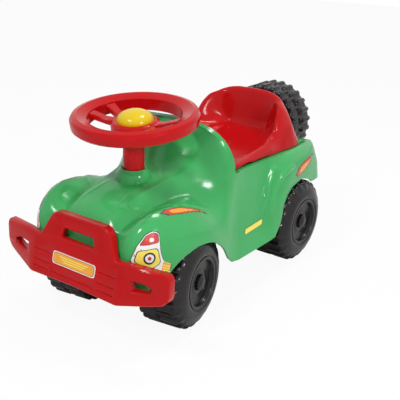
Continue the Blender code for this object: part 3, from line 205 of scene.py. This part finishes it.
def grained(name, colour, roughness, grain=1200, depth=0.00003):
    """Satin plastic or rubber with a fine grain and a little pale dust."""
    surface = Surface(name, roughness, specular=0.30)
    dust = surface.ranged(surface.noise(26, 5, 0.65), 0.50, 0.85, 0.0, 0.25)
    fine = surface.ranged(surface.noise(600, 2), 0.35, 0.65, 0.0, 1.0)
    body = surface.blend(fine, shade(colour, 0.8), shade(colour, 1.25))
    surface.colour(surface.blend(dust, body, tuple(channel * 1.5 + 0.006 for channel in colour)))
    wear = surface.noise(70, 4)
    surface.roughness(surface.ranged(wear, 0.3, 0.7, roughness * 0.8, roughness * 1.3))
    surface.bump(surface.noise(grain, 2), depth, 0.6)
    return surface.material


def steel(name, colour=(0.62, 0.62, 0.64), roughness=0.28):
    """Drawn bright steel with fine lines along it."""
    surface = Surface(name, roughness, metallic=1.0)
    lines = surface.noise(900, 3, 0.6, (0.05, 1.0, 1.0))
    surface.colour(surface.blend(surface.ranged(lines, 0.3, 0.7, 0.0, 1.0), shade(colour, 0.8),
                                 shade(colour, 1.1)))
    surface.roughness(surface.ranged(surface.noise(120, 4), 0.3, 0.7, roughness * 0.7,
                                     roughness * 1.5))
    surface.bump(lines, 0.00002, 0.5)
    return surface.material


def printed(name, colour, roughness=0.32):
    """Printed film: nearly even ink with a fine screen grain and a faint orange peel."""
    surface = Surface(name, roughness, coat=0.25)
    ink = surface.ranged(surface.noise(1400, 2), 0.3, 0.7, 0.0, 1.0)
    surface.colour(surface.blend(ink, shade(colour, 0.95), shade(colour, 1.04)))
    surface.roughness(surface.ranged(surface.noise(55, 3), 0.3, 0.7, roughness * 0.8,
                                     roughness * 1.3))
    surface.bump(surface.noise(500, 2), 0.00002, 0.4)
    return surface.material


GREEN = (0.046, 0.400, 0.108)
RED = (0.500, 0.004, 0.006)
BLACK = (0.010, 0.008, 0.008)
YELLOW = (0.740, 0.540, 0.003)

FINISHES = {
    "body_green": moulded("green_plastic", GREEN, 0.17, specular=0.34),
    "trim_red": moulded("red_plastic", RED, 0.15, specular=0.15),
    "button_yellow": moulded("yellow_plastic", YELLOW, 0.20, specular=0.35),
    "wheel_black": grained("black_plastic", BLACK, 0.24),
    "plain_steel": steel("bright_steel"),
    "nylon_white": moulded("white_nylon", (0.72, 0.71, 0.66), 0.42),
    "bellows_rubber": grained("black_rubber", (0.020, 0.019, 0.018), 0.65),
}
INKS = {
    "white": printed("ink_white", (0.86, 0.86, 0.84)),
    "yellow": printed("ink_yellow", (0.93, 0.78, 0.10)),
    "orange": printed("ink_orange", (0.88, 0.36, 0.02)),
    "red": printed("ink_red", (0.62, 0.03, 0.02)),
    "black": printed("ink_black", (0.015, 0.014, 0.013)),
    "dark_green": printed("ink_dark_green", (0.01, 0.10, 0.03)),
}


# Shading of the carried-over solids

WELD_REACH = 4e-6
BEVEL_WELD_REACH = 1e-5
BEVEL_ANGLE = math.radians(40)
ROUNDED_EDGES = {"bumper": 0.9}
# Voxel size in mm and rounds of smoothing
MELTED = {"seat": (1.7, 20)}
# Where the lid's smoothing starts and where it is full, in metres
MELT_BEHIND = (CAR_Y + 0.150, CAR_Y + 0.175)
MELT_ABOVE = (0.206, 0.220)
SHARP_ANGLES = {"bumper": 34, "body_shell": 34, "seat": 34, "steering_wheel": 34}
DEFAULT_SHARP_ANGLE = 32


def modifier_tree(name):
    """An empty geometry tree with its entry and exit nodes."""
    tree = bpy.data.node_groups.new(name, "GeometryNodeTree")
    for side in ("INPUT", "OUTPUT"):
        tree.interface.new_socket("Geometry", in_out=side, socket_type="NodeSocketGeometry")
    return tree, tree.nodes.new("NodeGroupInput"), tree.nodes.new("NodeGroupOutput")


def soft_shading(angle):
    """A modifier tree that welds a mesh and smooths it across all but its sharp edges."""
    tree, entry, leave = modifier_tree("soft_shading")
    weld = tree.nodes.new("GeometryNodeMergeByDistance")
    weld.inputs["Distance"].default_value = WELD_REACH
    clear = tree.nodes.new("GeometryNodeSetMeshNormal")
    clear.inputs["Remove Custom"].default_value = True
    faces = tree.nodes.new("GeometryNodeSetShadeSmooth")
    edges = tree.nodes.new("GeometryNodeSetShadeSmooth")
    edges.domain = "EDGE"
    edges.inputs["Shade Smooth"].default_value = False
    fold = tree.nodes.new("GeometryNodeInputMeshEdgeAngle")
    sharp = tree.nodes.new("FunctionNodeCompare")
    sharp.data_type = "FLOAT"
    sharp.operation = "GREATER_THAN"
    sharp.inputs[1].default_value = math.radians(angle)
    link = tree.links.new
    link(entry.outputs[0], weld.inputs["Geometry"])
    link(weld.outputs[0], clear.inputs["Mesh"])
    link(clear.outputs[0], faces.inputs["Geometry"])
    link(faces.outputs[0], edges.inputs["Geometry"])
    link(fold.outputs["Unsigned Angle"], sharp.inputs[0])
    link(sharp.outputs[0], edges.inputs["Selection"])
    link(edges.outputs[0], leave.inputs[0])
    return tree


def melting(rounds):
    """A modifier tree that smooths a mesh above its foot and behind its hinge."""
    tree, entry, leave = modifier_tree("melting")
    link = tree.links.new
    position = tree.nodes.new("GeometryNodeInputPosition")
    split = tree.nodes.new("ShaderNodeSeparateXYZ")
    link(position.outputs[0], split.inputs[0])
    shares = []
    for axis, (start, end) in (("Y", MELT_BEHIND), ("Z", MELT_ABOVE)):
        share = tree.nodes.new("ShaderNodeMapRange")
        share.inputs["From Min"].default_value = start
        share.inputs["From Max"].default_value = end
        link(split.outputs[axis], share.inputs["Value"])
        shares.append(share.outputs["Result"])
    both = tree.nodes.new("ShaderNodeMath")
    both.operation = "MULTIPLY"
    link(shares[0], both.inputs[0])
    link(shares[1], both.inputs[1])
    blur = tree.nodes.new("GeometryNodeBlurAttribute")
    blur.data_type = "FLOAT_VECTOR"
    blur.inputs["Iterations"].default_value = rounds
    value = [socket for socket in blur.inputs if socket.name == "Value" and socket.enabled][0]
    blurred = [socket for socket in blur.outputs if socket.enabled][0]
    link(position.outputs[0], value)
    link(both.outputs[0], blur.inputs["Weight"])
    move = tree.nodes.new("GeometryNodeSetPosition")
    link(entry.outputs[0], move.inputs["Geometry"])
    link(blurred, move.inputs["Position"])
    link(move.outputs[0], leave.inputs[0])
    return tree


def melt_folds(node, voxel, rounds):
    remesh = node.modifiers.new("even_faces", "REMESH")
    remesh.mode = "VOXEL"
    remesh.voxel_size = voxel * MM
    node.modifiers.new("melted_folds", "NODES").node_group = melting(rounds)


def round_edges(node, width):
    node.modifiers.new("weld", "WELD").merge_threshold = BEVEL_WELD_REACH
    bevel = node.modifiers.new("rounded_edges", "BEVEL")
    bevel.width = width * MM
    bevel.segments = 2
    bevel.limit_method = "ANGLE"
    bevel.angle_limit = BEVEL_ANGLE
    bevel.miter_outer = "MITER_ARC"


def dress_nodes():
    """Gives every carried-over solid its shading, its edges and its material."""
    trees = {}
    slots = {row["node"]: row["material_slot"] for row in frame["record"]["subparts"]}
    for name, node in frame["nodes"].items():
        angle = SHARP_ANGLES.get(name, DEFAULT_SHARP_ANGLE)
        if angle not in trees:
            trees[angle] = soft_shading(angle)
        if name in MELTED:
            melt_folds(node, *MELTED[name])
        if name in ROUNDED_EDGES:
            round_edges(node, ROUNDED_EDGES[name])
        node.modifiers.new("soft_shading", "NODES").node_group = trees[angle]
        for slot in node.material_slots:
            slot.link = "OBJECT"
            slot.material = FINISHES[slots[name]]


# Wheels: a lugged tyre and its hub in one moulding, open at the back

TREAD = 72.0
WHEEL_COLUMNS = 192
LUGS = 24
LUG_RISE = 4.5
# Along the axle, radius, share of the lugs' height and their shift in pitches
WHEEL_PROFILE = (
    (-31.0, 65.6, 0.35, 0.0), (-30.0, 66.8, 0.75, 0.0), (-28.0, 67.4, 1.0, 0.0),
    (-20.0, 67.5, 1.0, 0.0), (-10.0, 67.5, 1.0, 0.0), (-2.6, 67.5, 1.0, 0.0),
    (-1.6, 67.3, 0.35, 0.0), (0.0, 67.2, 0.0, 0.0), (1.6, 67.3, 0.35, 0.5),
    (2.6, 67.5, 1.0, 0.5), (10.0, 67.5, 1.0, 0.5), (20.0, 67.5, 1.0, 0.5),
    (27.0, 67.4, 1.0, 0.5), (29.5, 67.0, 0.85, 0.5), (31.5, 65.9, 0.60, 0.5),
    (34.0, 63.6, 0.34, 0.5), (36.2, 60.6, 0.12, 0.5), (38.0, 57.0, 0.0, 0.5),
    (39.8, 52.5, 0.0, 0.0), (40.8, 48.0, 0.0, 0.0), (41.0, 45.0, 0.0, 0.0),
    (40.7, 42.5, 0.0, 0.0), (40.2, 41.8, 0.0, 0.0), (39.2, 41.4, 0.0, 0.0),
    (39.2, 40.4, 0.0, 0.0), (40.3, 40.0, 0.0, 0.0), (40.6, 39.2, 0.0, 0.0),
    (40.6, 36.6, 0.0, 0.0), (40.2, 35.6, 0.0, 0.0), (39.2, 35.0, 0.0, 0.0),
    (35.2, 33.9, 0.0, 0.0), (34.3, 33.4, 0.0, 0.0), (34.0, 32.2, 0.0, 0.0),
    (34.0, 18.5, 0.0, 0.0), (34.3, 17.9, 0.0, 0.0), (34.3, 13.6, 0.0, 0.0),
    (34.0, 12.9, 0.0, 0.0), (34.0, 4.3, 0.0, 0.0), (-31.0, 4.3, 0.0, 0.0),
    (-31.0, 14.0, 0.0, 0.0), (29.0, 16.0, 0.0, 0.0), (30.5, 18.0, 0.0, 0.0),
    (30.5, 36.0, 0.0, 0.0), (31.0, 38.0, 0.0, 0.0), (31.0, 58.5, 0.0, 0.0),
    (-29.6, 62.5, 0.0, 0.0), (-31.0, 63.6, 0.0, 0.0),
)
# A lug's half width at its foot and the width of its flank, in pitches
LUG_HALF, LUG_FLANK = 0.27, 0.10
WHEEL_SHARP_ANGLE = math.radians(38)
STUDS = 10
STUD_SIDES = 10
STUD_SEAT, STUD_CIRCLE = 40.3, 46.5
# Rise over the seat and radius of a stud's rings
STUD_RINGS = ((-0.6, 1.5), (0.2, 1.5), (0.675, 1.0))
REST_STEER = math.radians(8.0)
COLUMN_Y = 6.0
HALF_TRACK = 83.0
REAR_AXLE_Y = 320
SPARE_PLACE = (-26, 437, 207)


def lug_height(turn, shift):
    """Share of a lug's height at an angle, flat on top with steep flanks."""
    phase = (turn * LUGS / (2 * math.pi) - shift + 0.5) % 1.0 - 0.5
    return min(max((LUG_HALF - abs(phase)) / LUG_FLANK, 0.0), 1.0)


def join_rings(bm, first, second):
    count = len(first)
    for k in range(count):
        after = (k + 1) % count
        bm.faces.new((first[k], first[after], second[after], second[k]))


def add_stud(bm, turn):
    """A small domed stud on the wheel's face."""
    middle = Vector((STUD_SEAT, STUD_CIRCLE * math.cos(turn), STUD_CIRCLE * math.sin(turn)))
    loops = []
    for rise, radius in STUD_RINGS:
        loop = []
        for k in range(STUD_SIDES):
            round_it = 2 * math.pi * k / STUD_SIDES
            offset = Vector((rise, radius * math.cos(round_it), radius * math.sin(round_it)))
            loop.append(bm.verts.new((middle + offset) * MM))
        loops.append(loop)
    for first, second in zip(loops, loops[1:]):
        join_rings(bm, first, second)
    bm.faces.new(loops[-1])
    bm.faces.new(reversed(loops[0]))


def wheel_form(name):
    bm = bmesh.new()
    rings = []
    for along, radius, share, shift in WHEEL_PROFILE:
        loop = []
        for k in range(WHEEL_COLUMNS):
            turn = 2 * math.pi * k / WHEEL_COLUMNS
            full = radius + share * LUG_RISE * lug_height(turn, shift)
            loop.append(bm.verts.new((along * MM, full * MM * math.cos(turn),
                                      full * MM * math.sin(turn))))
        rings.append(loop)
    for first, second in zip(rings, rings[1:] + rings[:1]):
        join_rings(bm, first, second)
    for k in range(STUDS):
        add_stud(bm, 2 * math.pi * (k + 0.25) / STUDS)
    mesh = mesh_from(name, bm, FINISHES["wheel_black"], smooth=True)
    mesh.set_sharp_from_angle(angle=WHEEL_SHARP_ANGLE)
    return mesh


def add_wheel(name, mesh, matrix, body, node):
    piece = add_object(name, mesh)
    piece.matrix_world = matrix
    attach(piece, body)
    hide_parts(node)


def make_wheels():
    mesh = wheel_form("wheel")
    column = Matrix.Translation(place(0, COLUMN_Y, 0)) @ Matrix.Rotation(REST_STEER, 4, "Z")
    half_turn = Matrix.Rotation(math.pi, 4, "Z")
    quarter_turn = Matrix.Rotation(math.pi / 2, 4, "Z")
    for side, sign in (("left", 1), ("right", -1)):
        outward = Matrix.Identity(4) if sign > 0 else half_turn
        front = Matrix.Translation((sign * HALF_TRACK * MM, -COLUMN_Y * MM, TREAD * MM))
        rear = Matrix.Translation(place(sign * HALF_TRACK, REAR_AXLE_Y, TREAD))
        for end, matrix in (("front", column @ front), ("rear", rear)):
            add_wheel(f"tyre_{end}_{side}", mesh, matrix @ outward, f"{end}_{side}_wheel",
                      f"wheel_{end}_{side}")
    add_wheel("tyre_spare", mesh, Matrix.Translation(place(*SPARE_PLACE)) @ quarter_turn, "spare",
              "spare_wheel")


# Squeaker bellows under the horn button, carried with the steering and kept at rest

BELLOWS_SHARP_ANGLE = math.radians(40)


def make_bellows():
    node = frame["nodes"]["horn_bellows"]
    piece = add_object("squeaker_bellows", node.data.copy())
    piece.data.materials.clear()
    piece.data.materials.append(FINISHES["bellows_rubber"])
    for face in piece.data.polygons:
        face.use_smooth = True
    piece.data.set_sharp_from_angle(angle=BELLOWS_SHARP_ANGLE)
    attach(piece, "steering")
    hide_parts("horn_bellows")
    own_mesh(piece)


# Moulded creases of the body, low rounded ridges that follow its skin

# Path in the car's own frame in mm, half width and height in mm, way outward
CREASES = {
    "rear_fender": (((103, 242, 192), (103.5, 236, 186), (104.9, 225, 171.2), (105.2, 216, 155),
                     (106, 206, 136.7), (109.5, 197, 124)),
                    9.0, 3.4, (1, 0, 0.25)),
    "rear_arch": (((113, 300, 181), (111.5, 282, 180.5), (110.5, 266, 177), (110.6, 251, 169),
                   (110.7, 236, 151), (112.6, 226, 132.6), (115.2, 214, 116)), 8.0, 2.6,
                  (1, 0, 0.25)),
    "front_fender": (((47.5, -66, 184), (52, -46, 188), (60, -26, 189), (76, -12, 191),
                      (94, 6, 190.5), (98, 34, 181), (102, 58, 169), (107.5, 78, 156)), 6.5, 1.8,
                     (0.3, -0.1, 1)),
    "hood": (((24, -6, 208), (29, -37, 201.5), (33, -62, 193), (36, -82, 182)), 7.0, 1.1,
             (0, -0.2, 1)),
}
CREASE_STEPS = 8
CREASE_COLUMNS = 8
# Depth of a ridge's edge and of its underside below the skin, in mm
CREASE_FOOT, CREASE_DEPTH = 0.25, 0.75
# Where the search for the skin starts, in metres, and the share of the path that ramps
CREASE_REACH = 0.02
CREASE_RAMP = 0.22


def smooth_path(points, steps):
    """A smooth curve through the points, in cubic pieces."""
    ends = [points[0]] + list(points) + [points[-1]]
    result = []
    for a, b, c, d in zip(ends, ends[1:], ends[2:], ends[3:]):
        for j in range(steps):
            t = j / steps
            result.append(0.5 * (2 * b + (c - a) * t + (2 * a - 5 * b + 4 * c - d) * t ** 2
                                 + (3 * b - a - 3 * c + d) * t ** 3))
    return result + [points[-1]]


def make_crease(name, ground, path, half_width, height, lean, sign):
    """A low rounded ridge on the skin along a path, fading out at both ends."""
    points = [place(sign * x, y, z) for x, y, z in path]
    line = smooth_path(points, CREASE_STEPS)
    hint = Vector((sign * lean[0], lean[1], lean[2])).normalized()
    found = [ground.meet(point + hint * CREASE_REACH, -hint) for point in line]
    line = [hit for hit, _ in found]
    normals = [normal for _, normal in found]
    for _ in range(2 * CREASE_STEPS):
        before, after = normals[:1] + normals[:-1], normals[1:] + normals[-1:]
        normals = [(a + b + c).normalized() for a, b, c in zip(before, normals, after)]
    bm = bmesh.new()
    upper, lower = [], []
    for k, point in enumerate(line):
        tangent = (line[min(k + 1, len(line) - 1)] - line[max(k - 1, 0)]).normalized()
        normal = normals[k]
        across = normal.cross(tangent).normalized()
        share = min(k, len(line) - 1 - k) / (CREASE_RAMP * len(line))
        ramp = math.sin(math.pi / 2 * min(share, 1.0)) ** 2
        top, foot = [], []
        for j in range(CREASE_COLUMNS + 1):
            s = 2 * j / CREASE_COLUMNS - 1
            skin, _ = ground.meet(point + across * (s * half_width * MM) + normal * CREASE_REACH,
                                  -normal)
            rise = ramp * height * math.cos(math.pi / 2 * s) ** 2 - CREASE_FOOT
            top.append(bm.verts.new(skin + normal * rise * MM))
            foot.append(bm.verts.new(skin - normal * CREASE_DEPTH * MM))
        upper.append(top)
        lower.append(foot)
    for rows in (upper, lower):
        for first, second in zip(rows, rows[1:]):
            for j in range(CREASE_COLUMNS):
                bm.faces.new((first[j], first[j + 1], second[j + 1], second[j]))
    for side in (0, CREASE_COLUMNS):
        for k in range(len(line) - 1):
            bm.faces.new((upper[k][side], upper[k + 1][side], lower[k + 1][side], lower[k][side]))
    for k in (0, len(line) - 1):
        for j in range(CREASE_COLUMNS):
            bm.faces.new((upper[k][j], upper[k][j + 1], lower[k][j + 1], lower[k][j]))
    piece = add_object(name, mesh_from(name, bm, FINISHES["body_green"], smooth=True))
    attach(piece, "car")


def make_creases():
    body = Ground("body_shell")
    for label, (path, half_width, height, lean) in CREASES.items():
        for side, sign in (("left", 1), ("right", -1)):
            make_crease(f"crease_{label}_{side}", body, path, half_width, height, lean, sign)


# Floor, backdrop and light

FLOOR_WHITENESS = 0.93
FLOOR_COLOUR = (0.92, 0.92, 0.92, 1)
FLOOR_HALF = 4.0
AMBIENT = 0.34
WHITE = (1, 1, 1, 1)
LAMP_TARGET = Vector((0.0, 0.0, 0.15))


def make_floor():
    """A pale floor that keeps shadows and shows nearly white to the camera."""
    data = bpy.data.meshes.new("floor")
    bm = bmesh.new()
    bmesh.ops.create_grid(bm, x_segments=1, y_segments=1, size=FLOOR_HALF)
    bm.to_mesh(data)
    bm.free()
    floor = add_object("floor", data)
    material = bpy.data.materials.new("floor")
    material.use_nodes = True
    nodes, links = material.node_tree.nodes, material.node_tree.links
    shader = nodes["Principled BSDF"]
    shader.inputs["Base Color"].default_value = FLOOR_COLOUR
    shader.inputs["Roughness"].default_value = 0.7
    glow = nodes.new("ShaderNodeEmission")
    glow.inputs["Color"].default_value = WHITE
    path = nodes.new("ShaderNodeLightPath")
    seen = nodes.new("ShaderNodeMath")
    seen.operation = "MULTIPLY"
    seen.inputs[1].default_value = FLOOR_WHITENESS
    links.new(path.outputs["Is Camera Ray"], seen.inputs[0])
    mix = nodes.new("ShaderNodeMixShader")
    links.new(seen.outputs[0], mix.inputs["Fac"])
    links.new(shader.outputs[0], mix.inputs[1])
    links.new(glow.outputs[0], mix.inputs[2])
    links.new(mix.outputs[0], nodes["Material Output"].inputs["Surface"])
    data.materials.append(material)


def make_world():
    """Even light, white to the camera and in reflections."""
    world = bpy.data.worlds.new("world")
    bpy.context.scene.world = world
    world.use_nodes = True
    nodes, links = world.node_tree.nodes, world.node_tree.links
    ambient = nodes["Background"]
    ambient.inputs["Color"].default_value = WHITE
    ambient.inputs["Strength"].default_value = AMBIENT
    white = nodes.new("ShaderNodeBackground")
    white.inputs["Color"].default_value = WHITE
    white.inputs["Strength"].default_value = 1.0
    path = nodes.new("ShaderNodeLightPath")
    mix = nodes.new("ShaderNodeMixShader")
    seen = path.outputs["Is Camera Ray"]
    for kind in ("Is Glossy Ray", "Is Transmission Ray"):
        either = nodes.new("ShaderNodeMath")
        either.operation = "MAXIMUM"
        links.new(seen, either.inputs[0])
        links.new(path.outputs[kind], either.inputs[1])
        seen = either.outputs[0]
    links.new(seen, mix.inputs["Fac"])
    links.new(ambient.outputs[0], mix.inputs[1])
    links.new(white.outputs[0], mix.inputs[2])
    links.new(mix.outputs[0], nodes["World Output"].inputs["Surface"])


def softbox(name, location, size, power):
    data = bpy.data.lights.new(name, "AREA")
    data.shape = "RECTANGLE"
    data.size, data.size_y = size
    data.energy = power
    lamp = add_object(name, data)
    lamp.location = location
    lamp.rotation_euler = (LAMP_TARGET - Vector(location)).to_track_quat("-Z", "Y").to_euler()


def make_lights():
    softbox("key", (-0.2, -1.5, 1.9), (0.34, 0.34), 18)
    softbox("side", (1.9, -0.5, 1.1), (0.22, 0.40), 16)
    softbox("top", (0.3, 0.6, 2.2), (0.40, 0.40), 14)


# Printed stickers, thin films on the body and the bumper

SHEET_REACH = 0.12


class Ground:
    """A carried-over solid that stickers lie on."""

    def __init__(self, *names):
        bm = bmesh.new()
        for name in names:
            bm.from_mesh(frame["nodes"][name].data)
        self.tree = BVHTree.FromBMesh(bm)
        bm.free()

    def meet(self, origin, direction):
        """The first point met and its normal, turned against the direction."""
        hit, normal, _, _ = self.tree.ray_cast(origin, direction)
        if hit is not None and normal.dot(direction) > 0:
            normal = -normal
        return hit, normal


class Sheet:
    """A flat plane that outlines are drawn on, and the direction that lays them down."""

    def __init__(self, ground, centre, azimuth, elevation=0.0, roll=0.0, mirror=False):
        a, e = math.radians(azimuth), math.radians(elevation)
        self.normal = Vector((math.sin(a) * math.cos(e), -math.cos(a) * math.cos(e), math.sin(e)))
        self.across = Vector((math.cos(a), math.sin(a), 0.0))
        self.up = self.normal.cross(self.across)
        turn = Matrix.Rotation(math.radians(roll), 3, self.normal)
        self.across, self.up = turn @ self.across, turn @ self.up
        self.ground, self.centre, self.mirror = ground, centre, mirror

    def lay(self, u, v):
        start = self.centre + (self.across * u + self.up * v) * MM + self.normal * SHEET_REACH
        direction = -self.normal
        if self.mirror:
            start = Vector((-start.x, start.y, start.z))
            direction = Vector((-direction.x, direction.y, direction.z))
        hit, normal = self.ground.meet(start, direction)
        return (hit, normal) if hit is not None else None


STICKER_STEP = 2.2
FILM = 0.00012
# Height of the lowest film over the ground, and how far each film reaches below its layer
FILM_GAP, FILM_OVERLAP = 0.00008, 0.00005


def rounded_outline(corners, radius, count=4):
    """A closed outline with its corners rounded, in mm."""
    result = []
    for k, corner in enumerate(corners):
        here = Vector(corner)
        before = Vector(corners[k - 1]) - here
        after = Vector(corners[(k + 1) % len(corners)]) - here
        reach = min(radius, before.length * 0.45, after.length * 0.45)
        start, end = here + before.normalized() * reach, here + after.normalized() * reach
        for j in range(count + 1):
            t = j / count
            result.append(tuple(start * (1 - t) ** 2 + here * 2 * t * (1 - t) + end * t ** 2))
    return result


def circle(u, v, radius, count=28, flat=1.0):
    return [(u + radius * math.cos(2 * math.pi * k / count),
             v + flat * radius * math.sin(2 * math.pi * k / count)) for k in range(count)]


def shrunk(outline, middle, share):
    """An outline drawn smaller round a middle."""
    middle = Vector(middle)
    return [tuple(middle + (Vector(point) - middle) * share) for point in outline]


def sticker(name, sheet, outline, ink, level):
    """A thin film with the given outline; higher levels lie on lower ones."""
    points = [Vector(point) for point in outline]
    rim = []
    for k, here in enumerate(points):
        after = points[(k + 1) % len(points)]
        pieces = max(1, int((after - here).length / STICKER_STEP))
        rim += [here.lerp(after, j / pieces) for j in range(pieces)]
    us, vs = [point.x for point in rim], [point.y for point in rim]
    inner = []
    columns = int((max(us) - min(us)) / STICKER_STEP) + 1
    rows = int((max(vs) - min(vs)) / STICKER_STEP) + 1
    for i in range(columns):
        for j in range(rows):
            inner.append(Vector((min(us) + (i + 0.5) * STICKER_STEP,
                                 min(vs) + (j + 0.5) * STICKER_STEP)))
    inner = [point for point in inner
             if min((point - edge).length for edge in rim) > 0.5 * STICKER_STEP]
    flat, _, faces, _, _, _ = delaunay_2d_cdt(rim + inner, [], [list(range(len(rim)))], 1, 1e-5)
    laid = [sheet.lay(point.x, point.y) for point in flat]
    bm = bmesh.new()
    base = FILM_GAP + level * FILM

    def raised(height):
        return [bm.verts.new(item[0] + item[1] * height) if item else None for item in laid]

    lower, upper = raised(base - FILM_OVERLAP), raised(base + FILM)
    sides = {}
    for face in faces:
        if any(laid[k] is None for k in face):
            continue
        if sheet.mirror:
            face = list(reversed(face))
        bm.faces.new([upper[k] for k in face])
        bm.faces.new([lower[k] for k in reversed(face)])
        for k, a in enumerate(face):
            b = face[(k + 1) % len(face)]
            sides[(a, b)] = True
    for a, b in sides:
        if (b, a) not in sides:
            bm.faces.new((upper[a], lower[a], lower[b], upper[b]))
    bmesh.ops.delete(bm, geom=[vert for vert in bm.verts if not vert.link_faces],
                     context="VERTS")
    piece = add_object(name, mesh_from(name, bm, INKS[ink]))
    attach(piece, "car")


# Outlines across and up on their sheet, in mm
HEADLIGHT = ((8, 31), (15.7, 27.5), (16.3, 12), (17, 1), (21.5, -13.6), (35, -22), (31, -31),
             (20, -29), (7.5, -24), (-12.4, -14), (-26, -10.3), (-17, 12), (-3.6, 27.5))
HEADLIGHT_TOP = ((8, 28.6), (14.3, 25.6), (14.6, 14.6), (-1.5, 13.4), (-13.2, 13.2), (-3.0, 25.4))
HEADLIGHT_LENS = ((12.5, 8.5), (15.0, -3.5), (17.2, -14.5), (4.0, -20.2), (-12.0, -12.6),
                  (-21.0, -9.4), (-15.5, 7.0))
LAMP_CENTRE = (0.5, -4.5)


def make_headlight(label, ground, mirror):
    sheet = Sheet(ground, place(107, -88, 150), 50, mirror=mirror)

    def layer(part, outline, ink, level):
        sticker(f"headlight_{label}_{part}", sheet, outline, ink, level)

    layer("edge", rounded_outline(HEADLIGHT, 4), "black", 0)
    layer("film", rounded_outline(shrunk(HEADLIGHT, (2, 2), 0.955), 4), "white", 1)
    layer("upper_edge", rounded_outline(HEADLIGHT_TOP, 3), "black", 2)
    layer("upper", rounded_outline(shrunk(HEADLIGHT_TOP, (3, 20), 0.92), 3), "red", 3)
    layer("upper_spot", circle(4.5, 19.5, 3.2, flat=0.8), "white", 4)
    layer("lens_edge", rounded_outline(HEADLIGHT_LENS, 5), "black", 2)
    layer("lens", rounded_outline(shrunk(HEADLIGHT_LENS, (0, -5), 0.93), 5), "yellow", 3)
    layer("lamp_edge", circle(*LAMP_CENTRE, 8.4), "black", 4)
    layer("lamp", circle(*LAMP_CENTRE, 6.0), "white", 5)
    layer("lamp_middle", circle(*LAMP_CENTRE, 2.6), "red", 6)
    layer("corner", rounded_outline(((20.5, -12.8), (33, -21.5), (29.5, -29), (17.5, -26.5)), 2.5),
          "orange", 3)
    for k in range(3):
        low = -17.0 - 3.6 * k
        bar = ((19.6, low), (31.2, low - 6.4), (30.6, low - 7.8), (19.2, low - 1.4))
        layer(f"corner_bar_{k + 1}", bar, "yellow", 4)


def flame(length, height, tongues):
    """A plain streak with pointed tongues that trail to one side."""
    outline = [(0.0, 0.0), (length * 0.12, height * 0.42), (length * 0.34, height * 0.5)]
    step = length * 0.62 / tongues
    for k in range(tongues):
        start = length * 0.38 + k * step
        share = 1 - (k + 1) / (tongues + 0.6)
        outline += [(start + step * 0.62, height * 0.5 * (share + 0.22)),
                    (start + step * 0.5, height * 0.5 * share)]
    outline.append((length, 0.0))
    for k in reversed(range(tongues)):
        start = length * 0.30 + k * step
        share = 1 - (k + 1) / (tongues + 0.6)
        outline += [(start + step * 0.75, -height * 0.5 * (share + 0.18)),
                    (start + step * 0.45, -height * 0.5 * share)]
    outline.append((length * 0.12, -height * 0.45))
    return outline


def make_flame(label, sheet, length, height, tongues):
    outer = flame(length, height, tongues)
    sticker(f"{label}_edge", sheet, outer, "black", 0)
    for part, ink, share, level in (("red", "red", 0.9, 1), ("core", "orange", 0.55, 2)):
        inner = shrunk(outer, (length * 0.36, 0), share)
        sticker(f"{label}_{part}", sheet, inner, ink, level)
    for k in range(4):
        spot = circle(length * (0.50 + 0.11 * k), 0.0, height * (0.085 - 0.012 * k), 12)
        sticker(f"{label}_spot_{k + 1}", sheet, spot, "yellow", 3)


BUMPER_FRONT, BUMPER_BOTTOM, BUMPER_LEAN = -131, 83, 13.3


def make_stickers():
    body, bumper = Ground("body_shell"), Ground("bumper")
    for label, mirror in (("left", False), ("right", True)):
        make_headlight(label, body, mirror)
        fender = Sheet(body, place(96, -52, 195), 60, 62, 14, mirror)
        make_flame(f"fender_flame_{label}", fender, 92, 13, 6)
        side = Sheet(body, place(112, 296, 162), 90, 0, 12, mirror)
        make_flame(f"side_flame_{label}", side, 84, 19, 5)
        pill = Sheet(body, place(112.5, 168, 109.5), 90, 0, 2, mirror)
        for part, inset, ink, level in (("edge", 0.0, "dark_green", 0), ("film", 0.8, "yellow", 1)):
            outline = ((-28 + inset, -4.5 + inset), (24 - inset, -4.5 + inset),
                       (28 - inset, 4.5 - inset), (-24 + inset, 4.5 - inset))
            sticker(f"sill_label_{label}_{part}", pill, rounded_outline(outline, 2.5), ink, level)
    plate = Sheet(bumper, place(0, BUMPER_FRONT + 8, BUMPER_BOTTOM + 33.5), 0, BUMPER_LEAN)
    for part, half_u, half_v, ink, level in (("rim", 41, 9.2, "white", 0),
                                             ("line", 39.4, 7.9, "black", 1),
                                             ("field", 38.8, 7.3, "orange", 2)):
        outline = ((-half_u, -half_v), (half_u, -half_v), (half_u, half_v), (-half_u, half_v))
        sticker(f"plate_{part}", plate, rounded_outline(outline, 5), ink, level)
    for k in range(3):
        half_u, v = 27 - 4 * k, 3.2 - 3.2 * k
        bar = ((-half_u, v - 0.7), (half_u, v - 0.7), (half_u, v + 0.7), (-half_u, v + 0.7))
        sticker(f"plate_bar_{k + 1}", plate, bar, "yellow", 3)


make_camera()
make_floor()
make_world()
make_lights()
make_stickers()
make_wheels()
make_creases()
make_bellows()
dress_nodes()

scene = bpy.context.scene
scene.view_settings.view_transform = "Standard"
